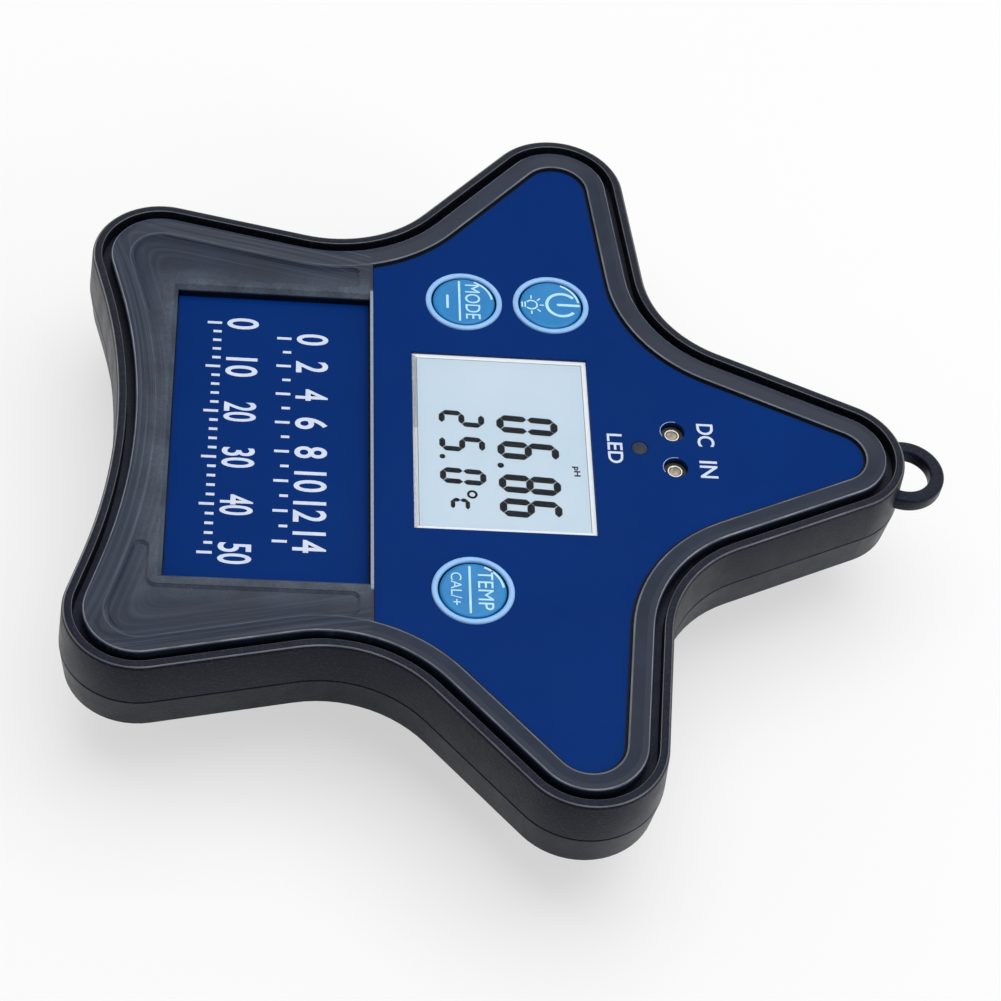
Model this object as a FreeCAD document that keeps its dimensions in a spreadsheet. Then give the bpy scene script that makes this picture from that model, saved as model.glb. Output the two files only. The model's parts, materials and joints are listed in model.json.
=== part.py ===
import FreeCAD, Part
import math
import os

import Sketcher

# Star-shaped floating water quality meter: sealed two-part housing, smoky top cover with a
# blue face panel, display and keys, and a probe head with a twist-off guard underneath.
# Millimetres. The frame's origin is on the probe axis at the guard's foot, +Z up through
# the face, +Y towards the hanging loop.

sizes = [
    # star outline at the parting line: tip and valley circles, joined by tangent lines
    ("topTipY", 61.2), ("topTipRadius", 14.4),
    ("sideTipX", 68.5), ("sideTipY", 9.9), ("sideTipRadius", 14.8),
    ("footTipX", 43.6), ("footTipY", -69.6), ("footTipRadius", 14.2),
    ("upperValleyX", 46.2), ("upperValleyY", 50.2), ("upperValleyRadius", 23.0),
    ("lowerValleyX", 75.6), ("lowerValleyY", -36.0), ("lowerValleyRadius", 24.2),
    ("footValleyY", -198.0), ("footValleyRadius", 121.2),
    # housing
    ("guardDepth", 17.0), ("bodyHeight", 18.0), ("partingHeight", 8.4),
    ("wallThickness", 2.4), ("floorThickness", 2.2),
    ("upperDraft", 3.6), ("lowerDraft", 5.5),
    ("rimRound", 0.8), ("footChamfer", 1.0), ("partingChamfer", 0.25),
    ("rimInset", 2.5), ("grooveDepth", 3.0), ("ledgeInset", 7.2), ("ledgeThickness", 1.8),
    ("sealInset", 0.9), ("sealWidth", 0.6), ("sealHeight", 0.7), ("sealGap", 0.05),
    ("loopRadius", 7.7), ("loopHoleRadius", 4.9), ("loopThickness", 3.1),
    ("loopDrop", 4.2), ("loopStandoff", 0.5), ("loopChamfer", 0.4),
    # housing screws, one in each tip
    ("bossInset", 8.5), ("sideTipAim", 8.0), ("footTipAim", 302.0),
    ("upperBossRadius", 3.4), ("lowerBossRadius", 4.4),
    ("screwRadius", 1.5), ("screwHeadRadius", 3.0), ("screwHeadHeight", 2.2),
    ("screwSeat", 4.0), ("screwBite", 4.6), ("screwClearance", 0.2), ("threadClearance", 0.05),
    # top cover, face panel and label plate
    ("coverInset", 4.2), ("coverChamfer", 0.35), ("bezelFlatInset", 5.6), ("panelInset", 8.1),
    ("bezelSlope", 0.6), ("panelDrop", 1.2), ("panelThickness", 0.6), ("panelGap", 0.15),
    ("panelBorderY", -27.8), ("borderRib", 0.6),
    ("troughDepth", 0.6), ("troughMargin", 0.5), ("troughLip", 2.4), ("troughCorner", 1.6),
    ("troughChamfer", 0.5),
    ("recessMargin", 16.0), ("recessHeight", 37.6), ("recessDepth", 2.4), ("recessChamfer", 0.8),
    ("labelThickness", 0.6), ("labelGap", 0.2), ("trayWall", 1.2),
    # display
    ("displayY", -3.1), ("displayWidth", 44.0), ("displayHeight", 34.4),
    ("displayGap", 0.1), ("holderWall", 0.9), ("glassThickness", 2.2),
    ("connectorWidth", 2.6), ("connectorGap", 0.4), ("connectorInset", 1.5),
    # keys
    ("powerKeyOffset", 14.3), ("powerKeyRise", 10.8), ("sideKeyOffset", 14.0),
    ("sideKeyDrop", 6.6), ("keyRingRadius", 7.65), ("keyRingWidth", 1.15), ("keyRingProud", 0.35),
    ("keyGap", 0.3), ("keyProud", 0.2), ("keyThickness", 1.4), ("keyDish", 0.15),
    ("keyEdge", 0.4), ("stemRadius", 2.2), ("keyTravel", 0.35), ("travelSpare", 0.15),
    ("keySealRadius", 8.2), ("keySealThickness", 0.6),
    ("switchSide", 6.2), ("switchHeight", 3.4), ("plungerRadius", 1.7),
    ("plungerGuide", 1.3), ("plungerReach", 1.2), ("plungerGap", 0.2),
    # charging contacts and status lamp
    ("contactX", 4.5), ("contactRise", 6.7), ("contactHoleRadius", 2.35),
    ("contactRadius", 1.55), ("contactDepth", 1.1), ("contactTailRadius", 0.7),
    ("contactFlangeRadius", 2.2), ("contactFlange", 0.8), ("bushingRadius", 3.4),
    ("bushingThickness", 1.6), ("bushingNose", 0.5), ("smallGap", 0.1),
    ("lampRise", 9.2), ("lampRadius", 1.55), ("lampProud", 0.1), ("lampChipSide", 1.6),
    ("lampChipHeight", 0.8),
    # main board
    ("boardDrop", 5.6), ("boardThickness", 1.6), ("boardOverhang", 8.0),
    ("boardMargin", 3.4), ("tongueHalfWidth", 13.0), ("tongueOverhang", 7.0),
    ("upperPostX", 24.0), ("lowerPostX", 29.0), ("postGap", 0.8),
    ("postRadius", 2.6), ("boardScrewRadius", 1.0), ("boardScrewHeadRadius", 2.0),
    ("boardScrewHead", 1.4), ("boardScrewBite", 3.0),
    ("processorSide", 12.0), ("processorHeight", 1.4), ("processorX", -27.0),
    ("radioWidth", 12.0), ("radioLength", 18.0), ("radioHeight", 2.0), ("radioX", 32.0),
    ("plugWidth", 8.0), ("plugDepth", 5.0), ("plugHeight", 3.6), ("plugX", 20.0),
    # battery
    ("batteryWidth", 50.0), ("batteryLength", 34.0), ("batteryHeight", 7.0),
    ("batteryGap", 3.0), ("batteryPadHeight", 0.8), ("batteryPadMargin", 3.0),
    # probe head
    ("collarRadius", 17.0), ("collarDepth", 5.0), ("portRadius", 13.3), ("headGap", 0.3),
    ("flangeRadius", 16.5), ("flangeThickness", 2.0), ("probeDrop", 8.5), ("headChamfer", 0.8),
    ("ringDrop", 2.4), ("ringSection", 0.7), ("ringGap", 0.05), ("ringFlat", 0.35),
    ("headScrewCircle", 14.9), ("headScrewRadius", 0.9), ("headScrewHeadRadius", 1.5),
    ("headScrewHead", 1.2), ("headScrewBite", 3.2),
    ("bulbY", 5.5), ("bulbRadius", 4.1), ("bulbWall", 0.6), ("bulbReach", 4.2),
    ("bulbDepth", 7.5), ("bulbWireRadius", 0.5), ("probeDepth", 4.5),
    ("junctionX", -7.5), ("junctionY", -1.5), ("junctionRadius", 2.1), ("junctionReach", 1.2),
    ("temperatureX", 7.5), ("temperatureRadius", 1.7), ("temperatureReach", 4.1),
    ("pinX", 2.6), ("pinY", -7.8), ("pinRadius", 1.0), ("pinReach", 3.7),
    ("probeBoardRadius", 11.5), ("probeBoardThickness", 1.0),
    ("headerWidth", 10.0), ("headerDepth", 2.5),
    # probe guard and its bayonet
    ("guardWall", 2.0), ("guardGap", 0.3), ("guardFoot", 1.6), ("guardMouthRadius", 12.0),
    ("slotCount", 6), ("slotAngle", 34.0), ("slotSill", 1.8), ("slotDrop", 1.0),
    ("guardChamfer", 0.6), ("lugCount", 3), ("lugAngle", 16.0), ("lugReach", 1.4),
    ("lugDrop", 3.4), ("lugHeight", 1.4), ("lugGap", 0.3), ("lugSideGap", 1.5),
    ("guardTwist", 36.0), ("gripCount", 18), ("gripRadius", 0.7), ("gripLength", 3.9),
]

doc = FreeCAD.newDocument("WaterMeter")
sheet = doc.addObject("Spreadsheet::Sheet", "Sizes")
for line, (alias, size) in enumerate(sizes, start=1):
    sheet.set(f"A{line}", alias)
    sheet.set(f"B{line}", str(size))
    sheet.setAlias(f"B{line}", alias)
doc.recompute()

nodes = []

# levels along Z, as expressions on the sheet
base = "(Sizes.guardDepth)"
parting = "(Sizes.guardDepth + Sizes.partingHeight)"
rimTop = "(Sizes.guardDepth + Sizes.bodyHeight)"
floorTop = "(Sizes.guardDepth + Sizes.floorThickness)"
coverSeat = f"({rimTop} - Sizes.grooveDepth)"
ledgeUnder = f"({coverSeat} - Sizes.ledgeThickness)"
slopeFoot = f"({rimTop} - Sizes.bezelSlope)"
panelTop = f"({rimTop} - Sizes.panelDrop)"
panelSeat = f"({panelTop} - Sizes.panelThickness)"
troughFloor = f"({slopeFoot} - Sizes.troughDepth)"
labelSeat = f"({slopeFoot} - Sizes.recessDepth - Sizes.labelThickness)"
trayUnder = f"({labelSeat} - Sizes.trayWall)"
boardTop = f"({coverSeat} - Sizes.boardDrop)"
boardUnder = f"({boardTop} - Sizes.boardThickness)"
glassTop = f"({panelSeat} - Sizes.displayGap)"
glassUnder = f"({glassTop} - Sizes.glassThickness)"
switchTop = f"({boardTop} + Sizes.switchHeight)"
stemFoot = f"({switchTop} + Sizes.plungerReach)"
collarFoot = f"({base} - Sizes.collarDepth)"
flangeTop = f"({floorTop} + Sizes.flangeThickness)"
probeBoardTop = f"({flangeTop} + Sizes.probeBoardThickness)"
probeFace = f"({base} - Sizes.probeDrop)"
lugFoot = f"({base} - Sizes.lugDrop)"
guardTop = f"({base} - Sizes.guardGap)"
guardInner = "(Sizes.collarRadius + Sizes.guardGap)"
guardOuter = f"({guardInner} + Sizes.guardWall)"

# places on the face, as expressions on the sheet
recessWidth = "(2 * (Sizes.lowerValleyX - Sizes.lowerValleyRadius - Sizes.recessMargin))"
recessMidY = "(Sizes.panelBorderY - Sizes.borderRib - Sizes.recessHeight / 2)"
displayTopY = "(Sizes.displayY + Sizes.displayHeight / 2)"
displayFootY = "(Sizes.displayY - Sizes.displayHeight / 2)"
powerKeyX = "(Sizes.displayWidth / 2 + Sizes.powerKeyOffset)"
sideKeyX = "(Sizes.displayWidth / 2 + Sizes.sideKeyOffset)"
sideKeyY = "(Sizes.displayY - Sizes.sideKeyDrop)"
lampY = f"({displayTopY} + Sizes.lampRise)"
contactY = f"({lampY} + Sizes.contactRise)"
upperPostY = f"({displayTopY} + Sizes.postGap + Sizes.postRadius + Sizes.boardMargin / 2)"
lowerPostY = f"({displayFootY} - Sizes.postGap - Sizes.postRadius)"
boardTopY = f"({upperPostY} + Sizes.boardMargin)"
boardFootY = f"({lowerPostY} - Sizes.boardMargin)"

starCircles = [
    ("0", "Sizes.topTipY", "Sizes.topTipRadius", 1),
    ("-Sizes.upperValleyX", "Sizes.upperValleyY", "Sizes.upperValleyRadius", -1),
    ("-Sizes.sideTipX", "Sizes.sideTipY", "Sizes.sideTipRadius", 1),
    ("-Sizes.lowerValleyX", "Sizes.lowerValleyY", "Sizes.lowerValleyRadius", -1),
    ("-Sizes.footTipX", "Sizes.footTipY", "Sizes.footTipRadius", 1),
    ("0", "Sizes.footValleyY", "Sizes.footValleyRadius", -1),
    ("Sizes.footTipX", "Sizes.footTipY", "Sizes.footTipRadius", 1),
    ("Sizes.lowerValleyX", "Sizes.lowerValleyY", "Sizes.lowerValleyRadius", -1),
    ("Sizes.sideTipX", "Sizes.sideTipY", "Sizes.sideTipRadius", 1),
    ("Sizes.upperValleyX", "Sizes.upperValleyY", "Sizes.upperValleyRadius", -1),
]


def tipSpot(x, y, radius, aim):
    out = f"({radius} - Sizes.bossInset)"
    return (f"{x} + {out} * cos({aim})", f"{y} + {out} * sin({aim})")


screwSpots = [
    tipSpot("0", "Sizes.topTipY", "Sizes.topTipRadius", "90"),
    tipSpot("Sizes.sideTipX", "Sizes.sideTipY", "Sizes.sideTipRadius", "Sizes.sideTipAim"),
    tipSpot("-Sizes.sideTipX", "Sizes.sideTipY", "Sizes.sideTipRadius", "(180 - Sizes.sideTipAim)"),
    tipSpot("Sizes.footTipX", "Sizes.footTipY", "Sizes.footTipRadius", "Sizes.footTipAim"),
    tipSpot("-Sizes.footTipX", "Sizes.footTipY", "Sizes.footTipRadius", "(180 - Sizes.footTipAim)"),
]
postSpots = [
    ("Sizes.upperPostX", upperPostY), ("-Sizes.upperPostX", upperPostY),
    ("Sizes.lowerPostX", lowerPostY), ("-Sizes.lowerPostX", lowerPostY),
]
keySpots = [
    ("power", f"-{powerKeyX}", "(Sizes.displayY + Sizes.powerKeyRise)"),
    ("mode", f"-{sideKeyX}", sideKeyY),
    ("temp", sideKeyX, sideKeyY),
]
contactSpots = [("Sizes.contactX", contactY), ("-Sizes.contactX", contactY)]
headScrewSpots = [
    (f"Sizes.headScrewCircle * cos({aim})", f"Sizes.headScrewCircle * sin({aim})")
    for aim in (90, 210, 330)
]


def number(text):
    return float(sheet.evalExpression(text))


def newBody(label):
    body = doc.addObject("PartDesign::Body", label)
    body.Label = label
    return body


def originPiece(body, role):
    return [piece for piece in body.Origin.OriginFeatures if piece.Role == role][0]


def sketchOn(body, name, level="0", role="XY_Plane"):
    sketch = body.newObject("Sketcher::SketchObject", name)
    sketch.AttachmentSupport = [(originPiece(body, role), "")]
    sketch.MapMode = "FlatFace"
    sketch.setExpression("AttachmentOffset.Base.z", level)
    return sketch


def dimension(sketch, kind, where, text):
    index = sketch.addConstraint(Sketcher.Constraint(kind, *where, number(text)))
    sketch.setExpression(f"Constraints[{index}]", text)


def placePoint(sketch, piece, point, x, y):
    for kind, text in (("DistanceX", x), ("DistanceY", y)):
        dimension(sketch, kind, (-1, 1, piece, point), text)


def starOutline(sketch, inset):
    """The star, set in by an inset: tip circles shrink by it and valley circles grow by it."""
    rounds = []
    for x, y, radius, turn in starCircles:
        text = f"{radius} {'-' if turn > 0 else '+'} ({inset})"
        centre = FreeCAD.Vector(number(x), number(y), 0)
        rounds.append((x, y, text, turn, centre, number(text)))
    count = len(rounds)
    normals = []
    for index in range(count):
        here = rounds[index]
        there = rounds[(index + 1) % count]
        way = there[4] - here[4]
        lean = math.acos((here[3] * here[5] - there[3] * there[5]) / way.Length)
        normals.append(math.atan2(way.y, way.x) - lean)
    arcs = []
    lines = []
    for index, (x, y, text, turn, centre, radius) in enumerate(rounds):
        enter = normals[index - 1]
        leave = normals[index]
        if turn < 0:
            enter, leave = leave + math.pi, enter + math.pi
        circle = Part.Circle(centre, FreeCAD.Vector(0, 0, 1), radius)
        arcs.append(Part.ArcOfCircle(circle, enter, leave))
        there = rounds[(index + 1) % count]
        out = FreeCAD.Vector(math.cos(normals[index]), math.sin(normals[index]), 0)
        start = centre + out * (turn * radius)
        end = there[4] + out * (there[3] * there[5])
        lines.append(Part.LineSegment(start, end))
    first = sketch.GeometryCount
    sketch.addGeometry(arcs + lines, False)
    for index, (x, y, text, turn, centre, radius) in enumerate(rounds):
        following = (index + 1) % count
        line = first + count + index
        leaving = 2 if turn > 0 else 1
        entering = 1 if rounds[following][3] > 0 else 2
        sketch.addConstraint(Sketcher.Constraint("Tangent", line, 1, first + index, leaving))
        sketch.addConstraint(Sketcher.Constraint("Tangent", line, 2, first + following, entering))
        dimension(sketch, "Radius", (first + index,), text)
        placePoint(sketch, first + index, 3, x, y)


def circle(sketch, radius, x="0", y="0"):
    centre = FreeCAD.Vector(number(x), number(y), 0)
    shape = Part.Circle(centre, FreeCAD.Vector(0, 0, 1), number(radius))
    index = sketch.addGeometry(shape, False)
    dimension(sketch, "Radius", (index,), radius)
    placePoint(sketch, index, 3, x, y)


def polygon(sketch, corners):
    spots = [FreeCAD.Vector(number(x), number(y), 0) for x, y in corners]
    first = sketch.GeometryCount
    count = len(spots)
    for index, spot in enumerate(spots):
        sketch.addGeometry(Part.LineSegment(spot, spots[(index + 1) % count]), False)
    for index, (x, y) in enumerate(corners):
        before = first + (index - 1) % count
        sketch.addConstraint(Sketcher.Constraint("Coincident", before, 2, first + index, 1))
        placePoint(sketch, first + index, 1, x, y)


def rectangle(sketch, width, height, x="0", y="0"):
    left, right = f"{x} - ({width}) / 2", f"{x} + ({width}) / 2"
    low, high = f"{y} - ({height}) / 2", f"{y} + ({height}) / 2"
    polygon(sketch, [(left, low), (right, low), (right, high), (left, high)])


def sector(sketch, inner, outer, start, end):
    """A ring sector about the origin, between two angles in degrees."""
    corners = []
    for radius, angle in ((inner, start), (outer, start), (outer, end), (inner, end)):
        corners.append((f"({radius}) * cos({angle})", f"({radius}) * sin({angle})"))
    spots = [FreeCAD.Vector(number(x), number(y), 0) for x, y in corners]
    first = sketch.GeometryCount
    turn = [math.radians(number(angle)) for angle in (start, end)]
    up = FreeCAD.Vector(0, 0, 1)
    middle = FreeCAD.Vector(0, 0, 0)
    sketch.addGeometry([
        Part.LineSegment(spots[0], spots[1]),
        Part.ArcOfCircle(Part.Circle(middle, up, number(outer)), turn[0], turn[1]),
        Part.LineSegment(spots[2], spots[3]),
        Part.ArcOfCircle(Part.Circle(middle, up, number(inner)), turn[0], turn[1]),
    ], False)
    joints = ((first, 2, first + 1, 1), (first + 1, 2, first + 2, 1),
              (first + 2, 2, first + 3, 2), (first + 3, 1, first, 1))
    for joint in joints:
        sketch.addConstraint(Sketcher.Constraint("Coincident", *joint))
    sketch.addConstraint(Sketcher.Constraint("Coincident", first + 1, 3, -1, 1))
    sketch.addConstraint(Sketcher.Constraint("Coincident", first + 3, 3, -1, 1))
    dimension(sketch, "Radius", (first + 1,), outer)
    dimension(sketch, "Radius", (first + 3,), inner)
    for line, point, corner in ((first, 2, corners[1]), (first + 2, 1, corners[2])):
        flat = "DistanceY" if abs(number(corner[0])) > abs(number(corner[1])) else "DistanceX"
        text = corner[1] if flat == "DistanceY" else corner[0]
        dimension(sketch, flat, (-1, 1, line, point), text)
        sketch.addConstraint(Sketcher.Constraint("PointOnObject", -1, 1, line))


def addFeature(body, kind, sketch, wanted):
    """A sketch-based feature that has to add or remove material."""
    doc.recompute()
    before = body.Shape.Volume if body.Tip else 0
    feature = body.newObject(f"PartDesign::{kind}", kind)
    feature.Profile = sketch
    sketch.Visibility = False
    return feature, before, wanted


def settle(body, made):
    feature, before, wanted = made
    doc.recompute()
    if wanted * (body.Shape.Volume - before) <= 0:
        raise RuntimeError(f"{body.Label}: {feature.Name} leaves the volume as it was")
    return feature


def pad(body, sketch, length, down=False, taper=None):
    made = addFeature(body, "Pad", sketch, 1)
    made[0].setExpression("Length", length)
    made[0].Reversed = down
    if taper:
        made[0].setExpression("TaperAngle", taper)
    return settle(body, made)


def pocket(body, sketch, depth, up=False):
    made = addFeature(body, "Pocket", sketch, -1)
    made[0].setExpression("Length", depth)
    made[0].Reversed = up
    return settle(body, made)


def revolve(body, corners):
    sketch = sketchOn(body, "Profile", role="XZ_Plane")
    polygon(sketch, corners)
    made = addFeature(body, "Revolution", sketch, 1)
    made[0].ReferenceAxis = (sketch, ["V_Axis"])
    made[0].Angle = 360
    return settle(body, made)


def edgesAt(body, level, wanted=lambda edge: True):
    height = number(level)
    names = []
    for index, edge in enumerate(body.Shape.Edges, start=1):
        box = edge.BoundBox
        flat = abs(box.ZMin - height) < 1e-4 and abs(box.ZMax - height) < 1e-4
        if flat and wanted(edge):
            names.append(f"Edge{index}")
    return names


def dress(body, kind, edges, size):
    base = body.Tip
    feature = body.newObject(f"PartDesign::{kind}", kind)
    feature.Base = (base, edges)
    feature.setExpression("Radius" if kind == "Fillet" else "Size", size)
    body.Tip = feature
    doc.recompute()
    return feature


def polar(body, originals, count):
    pattern = body.newObject("PartDesign::PolarPattern", "Ring")
    pattern.Originals = originals
    pattern.Axis = (originPiece(body, "Z_Axis"), [""])
    pattern.Angle = 360
    pattern.setExpression("Occurrences", count)
    body.Tip = pattern
    doc.recompute()
    return pattern


def keep(label, piece):
    piece.Label = label
    nodes.append((label, piece))
    return piece


def place(piece, x="0", y="0", z="0"):
    for axis, text in (("x", x), ("y", y), ("z", z)):
        piece.setExpression(f"Placement.Base.{axis}", text)
    return piece


def cylinder(name, radius, foot, top, x="0", y="0"):
    piece = doc.addObject("Part::Cylinder", name)
    piece.setExpression("Radius", radius)
    piece.setExpression("Height", f"{top} - {foot}")
    return place(piece, x, y, foot)


def block(name, width, length, foot, top, x="0", y="0"):
    piece = doc.addObject("Part::Box", name)
    piece.setExpression("Length", width)
    piece.setExpression("Width", length)
    piece.setExpression("Height", f"{top} - {foot}")
    return place(piece, f"{x} - ({width}) / 2", f"{y} - ({length}) / 2", foot)


def ball(name, radius, x, y, z):
    piece = doc.addObject("Part::Sphere", name)
    piece.setExpression("Radius", radius)
    return place(piece, x, y, z)


def fuse(name, pieces):
    joined = doc.addObject("Part::MultiFuse", name)
    joined.Shapes = pieces
    joined.Refine = True
    return joined


def cut(name, piece, tool):
    result = doc.addObject("Part::Cut", name)
    result.Base = piece
    result.Tool = tool
    return result


def group(label, pieces):
    bundle = doc.addObject("Part::Compound", label)
    bundle.Links = pieces
    return keep(label, bundle)


def makeUpperHousing():
    body = newBody("upper_housing")
    outer = sketchOn(body, "UpperOuter", parting)
    starOutline(outer, "0")
    pad(body, outer, f"{rimTop} - {parting}", taper="-Sizes.upperDraft")
    dress(body, "Fillet", edgesAt(body, rimTop), "Sizes.rimRound")
    dress(body, "Chamfer", edgesAt(body, parting), "Sizes.partingChamfer")

    loopTop = f"({rimTop} - Sizes.loopDrop)"
    loopY = "(Sizes.topTipY + Sizes.topTipRadius + Sizes.loopStandoff)"
    loop = sketchOn(body, "Loop", loopTop)
    circle(loop, "Sizes.loopRadius", "0", loopY)
    circle(loop, "Sizes.loopHoleRadius", "0", loopY)
    pad(body, loop, "Sizes.loopThickness", down=True)
    loopEdges = []
    for level in (loopTop, f"{loopTop} - Sizes.loopThickness"):
        loopEdges += edgesAt(body, level, lambda edge: edge.Curve.TypeId == "Part::GeomCircle"
                             and edge.BoundBox.YMax > number(f"{loopY} + Sizes.loopHoleRadius") - 0.1)
    dress(body, "Chamfer", loopEdges, "Sizes.loopChamfer")

    rim = sketchOn(body, "RimInner", rimTop)
    starOutline(rim, "Sizes.rimInset")
    pocket(body, rim, "Sizes.grooveDepth")
    opening = sketchOn(body, "LedgeOpening", coverSeat)
    starOutline(opening, "Sizes.ledgeInset")
    pocket(body, opening, f"{coverSeat} - {parting}")
    hollow = sketchOn(body, "UpperHollow", parting)
    starOutline(hollow, "Sizes.wallThickness")
    pocket(body, hollow, f"{ledgeUnder} - {parting}", up=True)
    bosses = sketchOn(body, "UpperBosses", parting)
    pilots = sketchOn(body, "UpperPilots", parting)
    for x, y in screwSpots:
        circle(bosses, "Sizes.upperBossRadius", x, y)
        circle(pilots, "Sizes.screwRadius + Sizes.threadClearance", x, y)
    pad(body, bosses, f"{coverSeat} - {parting}")
    pocket(body, pilots, "Sizes.screwBite + Sizes.screwClearance", up=True)
    keep("upper_housing", body)


def makeLowerHousing():
    body = newBody("lower_housing")
    outer = sketchOn(body, "LowerOuter", parting)
    starOutline(outer, "0")
    pad(body, outer, "Sizes.partingHeight", down=True, taper="-Sizes.lowerDraft")
    dress(body, "Chamfer", edgesAt(body, base), "Sizes.footChamfer")
    dress(body, "Chamfer", edgesAt(body, parting), "Sizes.partingChamfer")

    collar = sketchOn(body, "Collar", base)
    circle(collar, "Sizes.collarRadius")
    pad(body, collar, "Sizes.collarDepth", down=True)
    hollow = sketchOn(body, "LowerHollow", parting)
    starOutline(hollow, "Sizes.wallThickness")
    pocket(body, hollow, "Sizes.partingHeight - Sizes.floorThickness")
    groove = sketchOn(body, "SealGroove", parting)
    starOutline(groove, "Sizes.sealInset - Sizes.sealGap")
    starOutline(groove, "Sizes.sealInset + Sizes.sealWidth + Sizes.sealGap")
    pocket(body, groove, "Sizes.sealHeight")

    bosses = sketchOn(body, "LowerBosses", floorTop)
    holes = sketchOn(body, "LowerHoles", parting)
    seats = sketchOn(body, "ScrewSeats", base)
    for x, y in screwSpots:
        circle(bosses, "Sizes.lowerBossRadius", x, y)
        circle(holes, "Sizes.screwRadius + Sizes.screwClearance", x, y)
        circle(seats, "Sizes.screwHeadRadius + Sizes.screwClearance", x, y)
    pad(body, bosses, f"{parting} - {floorTop}")
    pocket(body, holes, "Sizes.partingHeight")
    pocket(body, seats, "Sizes.screwSeat", up=True)

    port = sketchOn(body, "Port", floorTop)
    circle(port, "Sizes.portRadius")
    pocket(body, port, f"{floorTop} - {collarFoot}")
    pilots = sketchOn(body, "HeadPilots", floorTop)
    for x, y in headScrewSpots:
        circle(pilots, "Sizes.headScrewRadius + Sizes.threadClearance", x, y)
    pocket(body, pilots, "Sizes.headScrewBite + Sizes.threadClearance")

    # bayonet track: an annular groove for each lug, entered from the collar's foot
    lugRoot = f"({guardInner} - Sizes.lugReach - Sizes.lugGap)"
    clear = f"({guardInner} + Sizes.lugGap)"
    trackTop = f"({lugFoot} + Sizes.lugHeight + Sizes.lugGap)"
    locked = "(Sizes.lugAngle / 2 + Sizes.lugSideGap)"
    unlocked = f"(-Sizes.guardTwist - {locked})"
    track = sketchOn(body, "Track", trackTop)
    sector(track, lugRoot, clear, unlocked, locked)
    trackCut = pocket(body, track, "Sizes.lugHeight + 2 * Sizes.lugGap")
    entry = sketchOn(body, "Entry", trackTop)
    sector(entry, lugRoot, clear, unlocked, f"(-Sizes.guardTwist + {locked})")
    entryCut = pocket(body, entry, f"{trackTop} - {collarFoot}")
    polar(body, [trackCut, entryCut], "Sizes.lugCount")
    keep("lower_housing", body)


def makeSeal():
    body = newBody("housing_seal")
    sketch = sketchOn(body, "Seal", parting)
    starOutline(sketch, "Sizes.sealInset")
    starOutline(sketch, "Sizes.sealInset + Sizes.sealWidth")
    pad(body, sketch, "Sizes.sealHeight", down=True)
    keep("housing_seal", body)


def panelShape(label, inset, seat, top, borderY):
    """A star plate that ends at a straight lower border."""
    body = newBody(label)
    outline = sketchOn(body, "Outline", seat)
    starOutline(outline, inset)
    pad(body, outline, f"{top} - {seat}")
    below = sketchOn(body, "Below", top)
    reach = "(Sizes.sideTipX + Sizes.sideTipRadius)"
    depth = "(Sizes.footTipRadius - Sizes.footTipY)"
    polygon(below, [(f"-{reach}", f"-{depth}"), (reach, f"-{depth}"), (reach, borderY),
                    (f"-{reach}", borderY)])
    pocket(body, below, f"{top} - {seat}")
    return body


def cutOpenings(body, top, depth, keyRadius, lampRadius):
    openings = sketchOn(body, "Openings", top)
    rectangle(openings, "Sizes.displayWidth", "Sizes.displayHeight", "0", "Sizes.displayY")
    for name, x, y in keySpots:
        circle(openings, keyRadius, x, y)
    for x, y in contactSpots:
        circle(openings, "Sizes.contactHoleRadius", x, y)
    circle(openings, lampRadius, "0", lampY)
    pocket(body, openings, depth)


def makeTopCover():
    body = newBody("CoverBody")
    outer = sketchOn(body, "CoverOuter", coverSeat)
    starOutline(outer, "Sizes.coverInset")
    pad(body, outer, "Sizes.grooveDepth")
    dress(body, "Chamfer", edgesAt(body, rimTop), "Sizes.coverChamfer")

    crest = sketchOn(body, "SlopeCrest", rimTop)
    starOutline(crest, "Sizes.bezelFlatInset")
    foot = sketchOn(body, "SlopeFoot", slopeFoot)
    starOutline(foot, "Sizes.panelInset")
    made = addFeature(body, "SubtractiveLoft", crest, -1)
    made[0].Sections = [foot]
    made[0].Ruled = True
    settle(body, made)

    tray = sketchOn(body, "Tray", coverSeat)
    rectangle(tray, f"{recessWidth} + 2 * Sizes.trayWall",
              "Sizes.recessHeight + 2 * Sizes.trayWall", "0", recessMidY)
    pad(body, tray, f"{coverSeat} - {trayUnder}", down=True)
    recess = sketchOn(body, "Recess", slopeFoot)
    rectangle(recess, recessWidth, "Sizes.recessHeight", "0", recessMidY)
    pocket(body, recess, f"{slopeFoot} - {labelSeat}")
    side = number(f"{recessWidth} / 2")
    low = number(f"{recessMidY} - Sizes.recessHeight / 2")
    lips = edgesAt(body, slopeFoot, lambda edge: edge.Curve.TypeId == "Part::GeomLine" and (
        abs(abs(edge.CenterOfMass.x) - side) < 0.01 or abs(edge.CenterOfMass.y - low) < 0.01))
    dress(body, "Chamfer", lips, "Sizes.recessChamfer")

    posts = sketchOn(body, "Posts", coverSeat)
    pilots = sketchOn(body, "PostPilots", boardTop)
    for x, y in postSpots:
        circle(posts, "Sizes.postRadius", x, y)
        circle(pilots, "Sizes.boardScrewRadius + Sizes.threadClearance", x, y)
    pad(body, posts, "Sizes.boardDrop", down=True)
    pocket(body, pilots, "Sizes.boardScrewBite + Sizes.screwClearance", up=True)
    cutOpenings(body, slopeFoot, f"{slopeFoot} - {coverSeat}",
                "Sizes.keyRingRadius - Sizes.keyRingWidth", "Sizes.lampRadius + Sizes.smallGap")
    well = panelShape("PanelWell", "Sizes.panelInset", panelSeat, slopeFoot, "Sizes.panelBorderY")
    recessed = cut("CoverWithWell", body, well)
    keep("top_cover", cut("top_cover", recessed, troughShape()))


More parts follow.
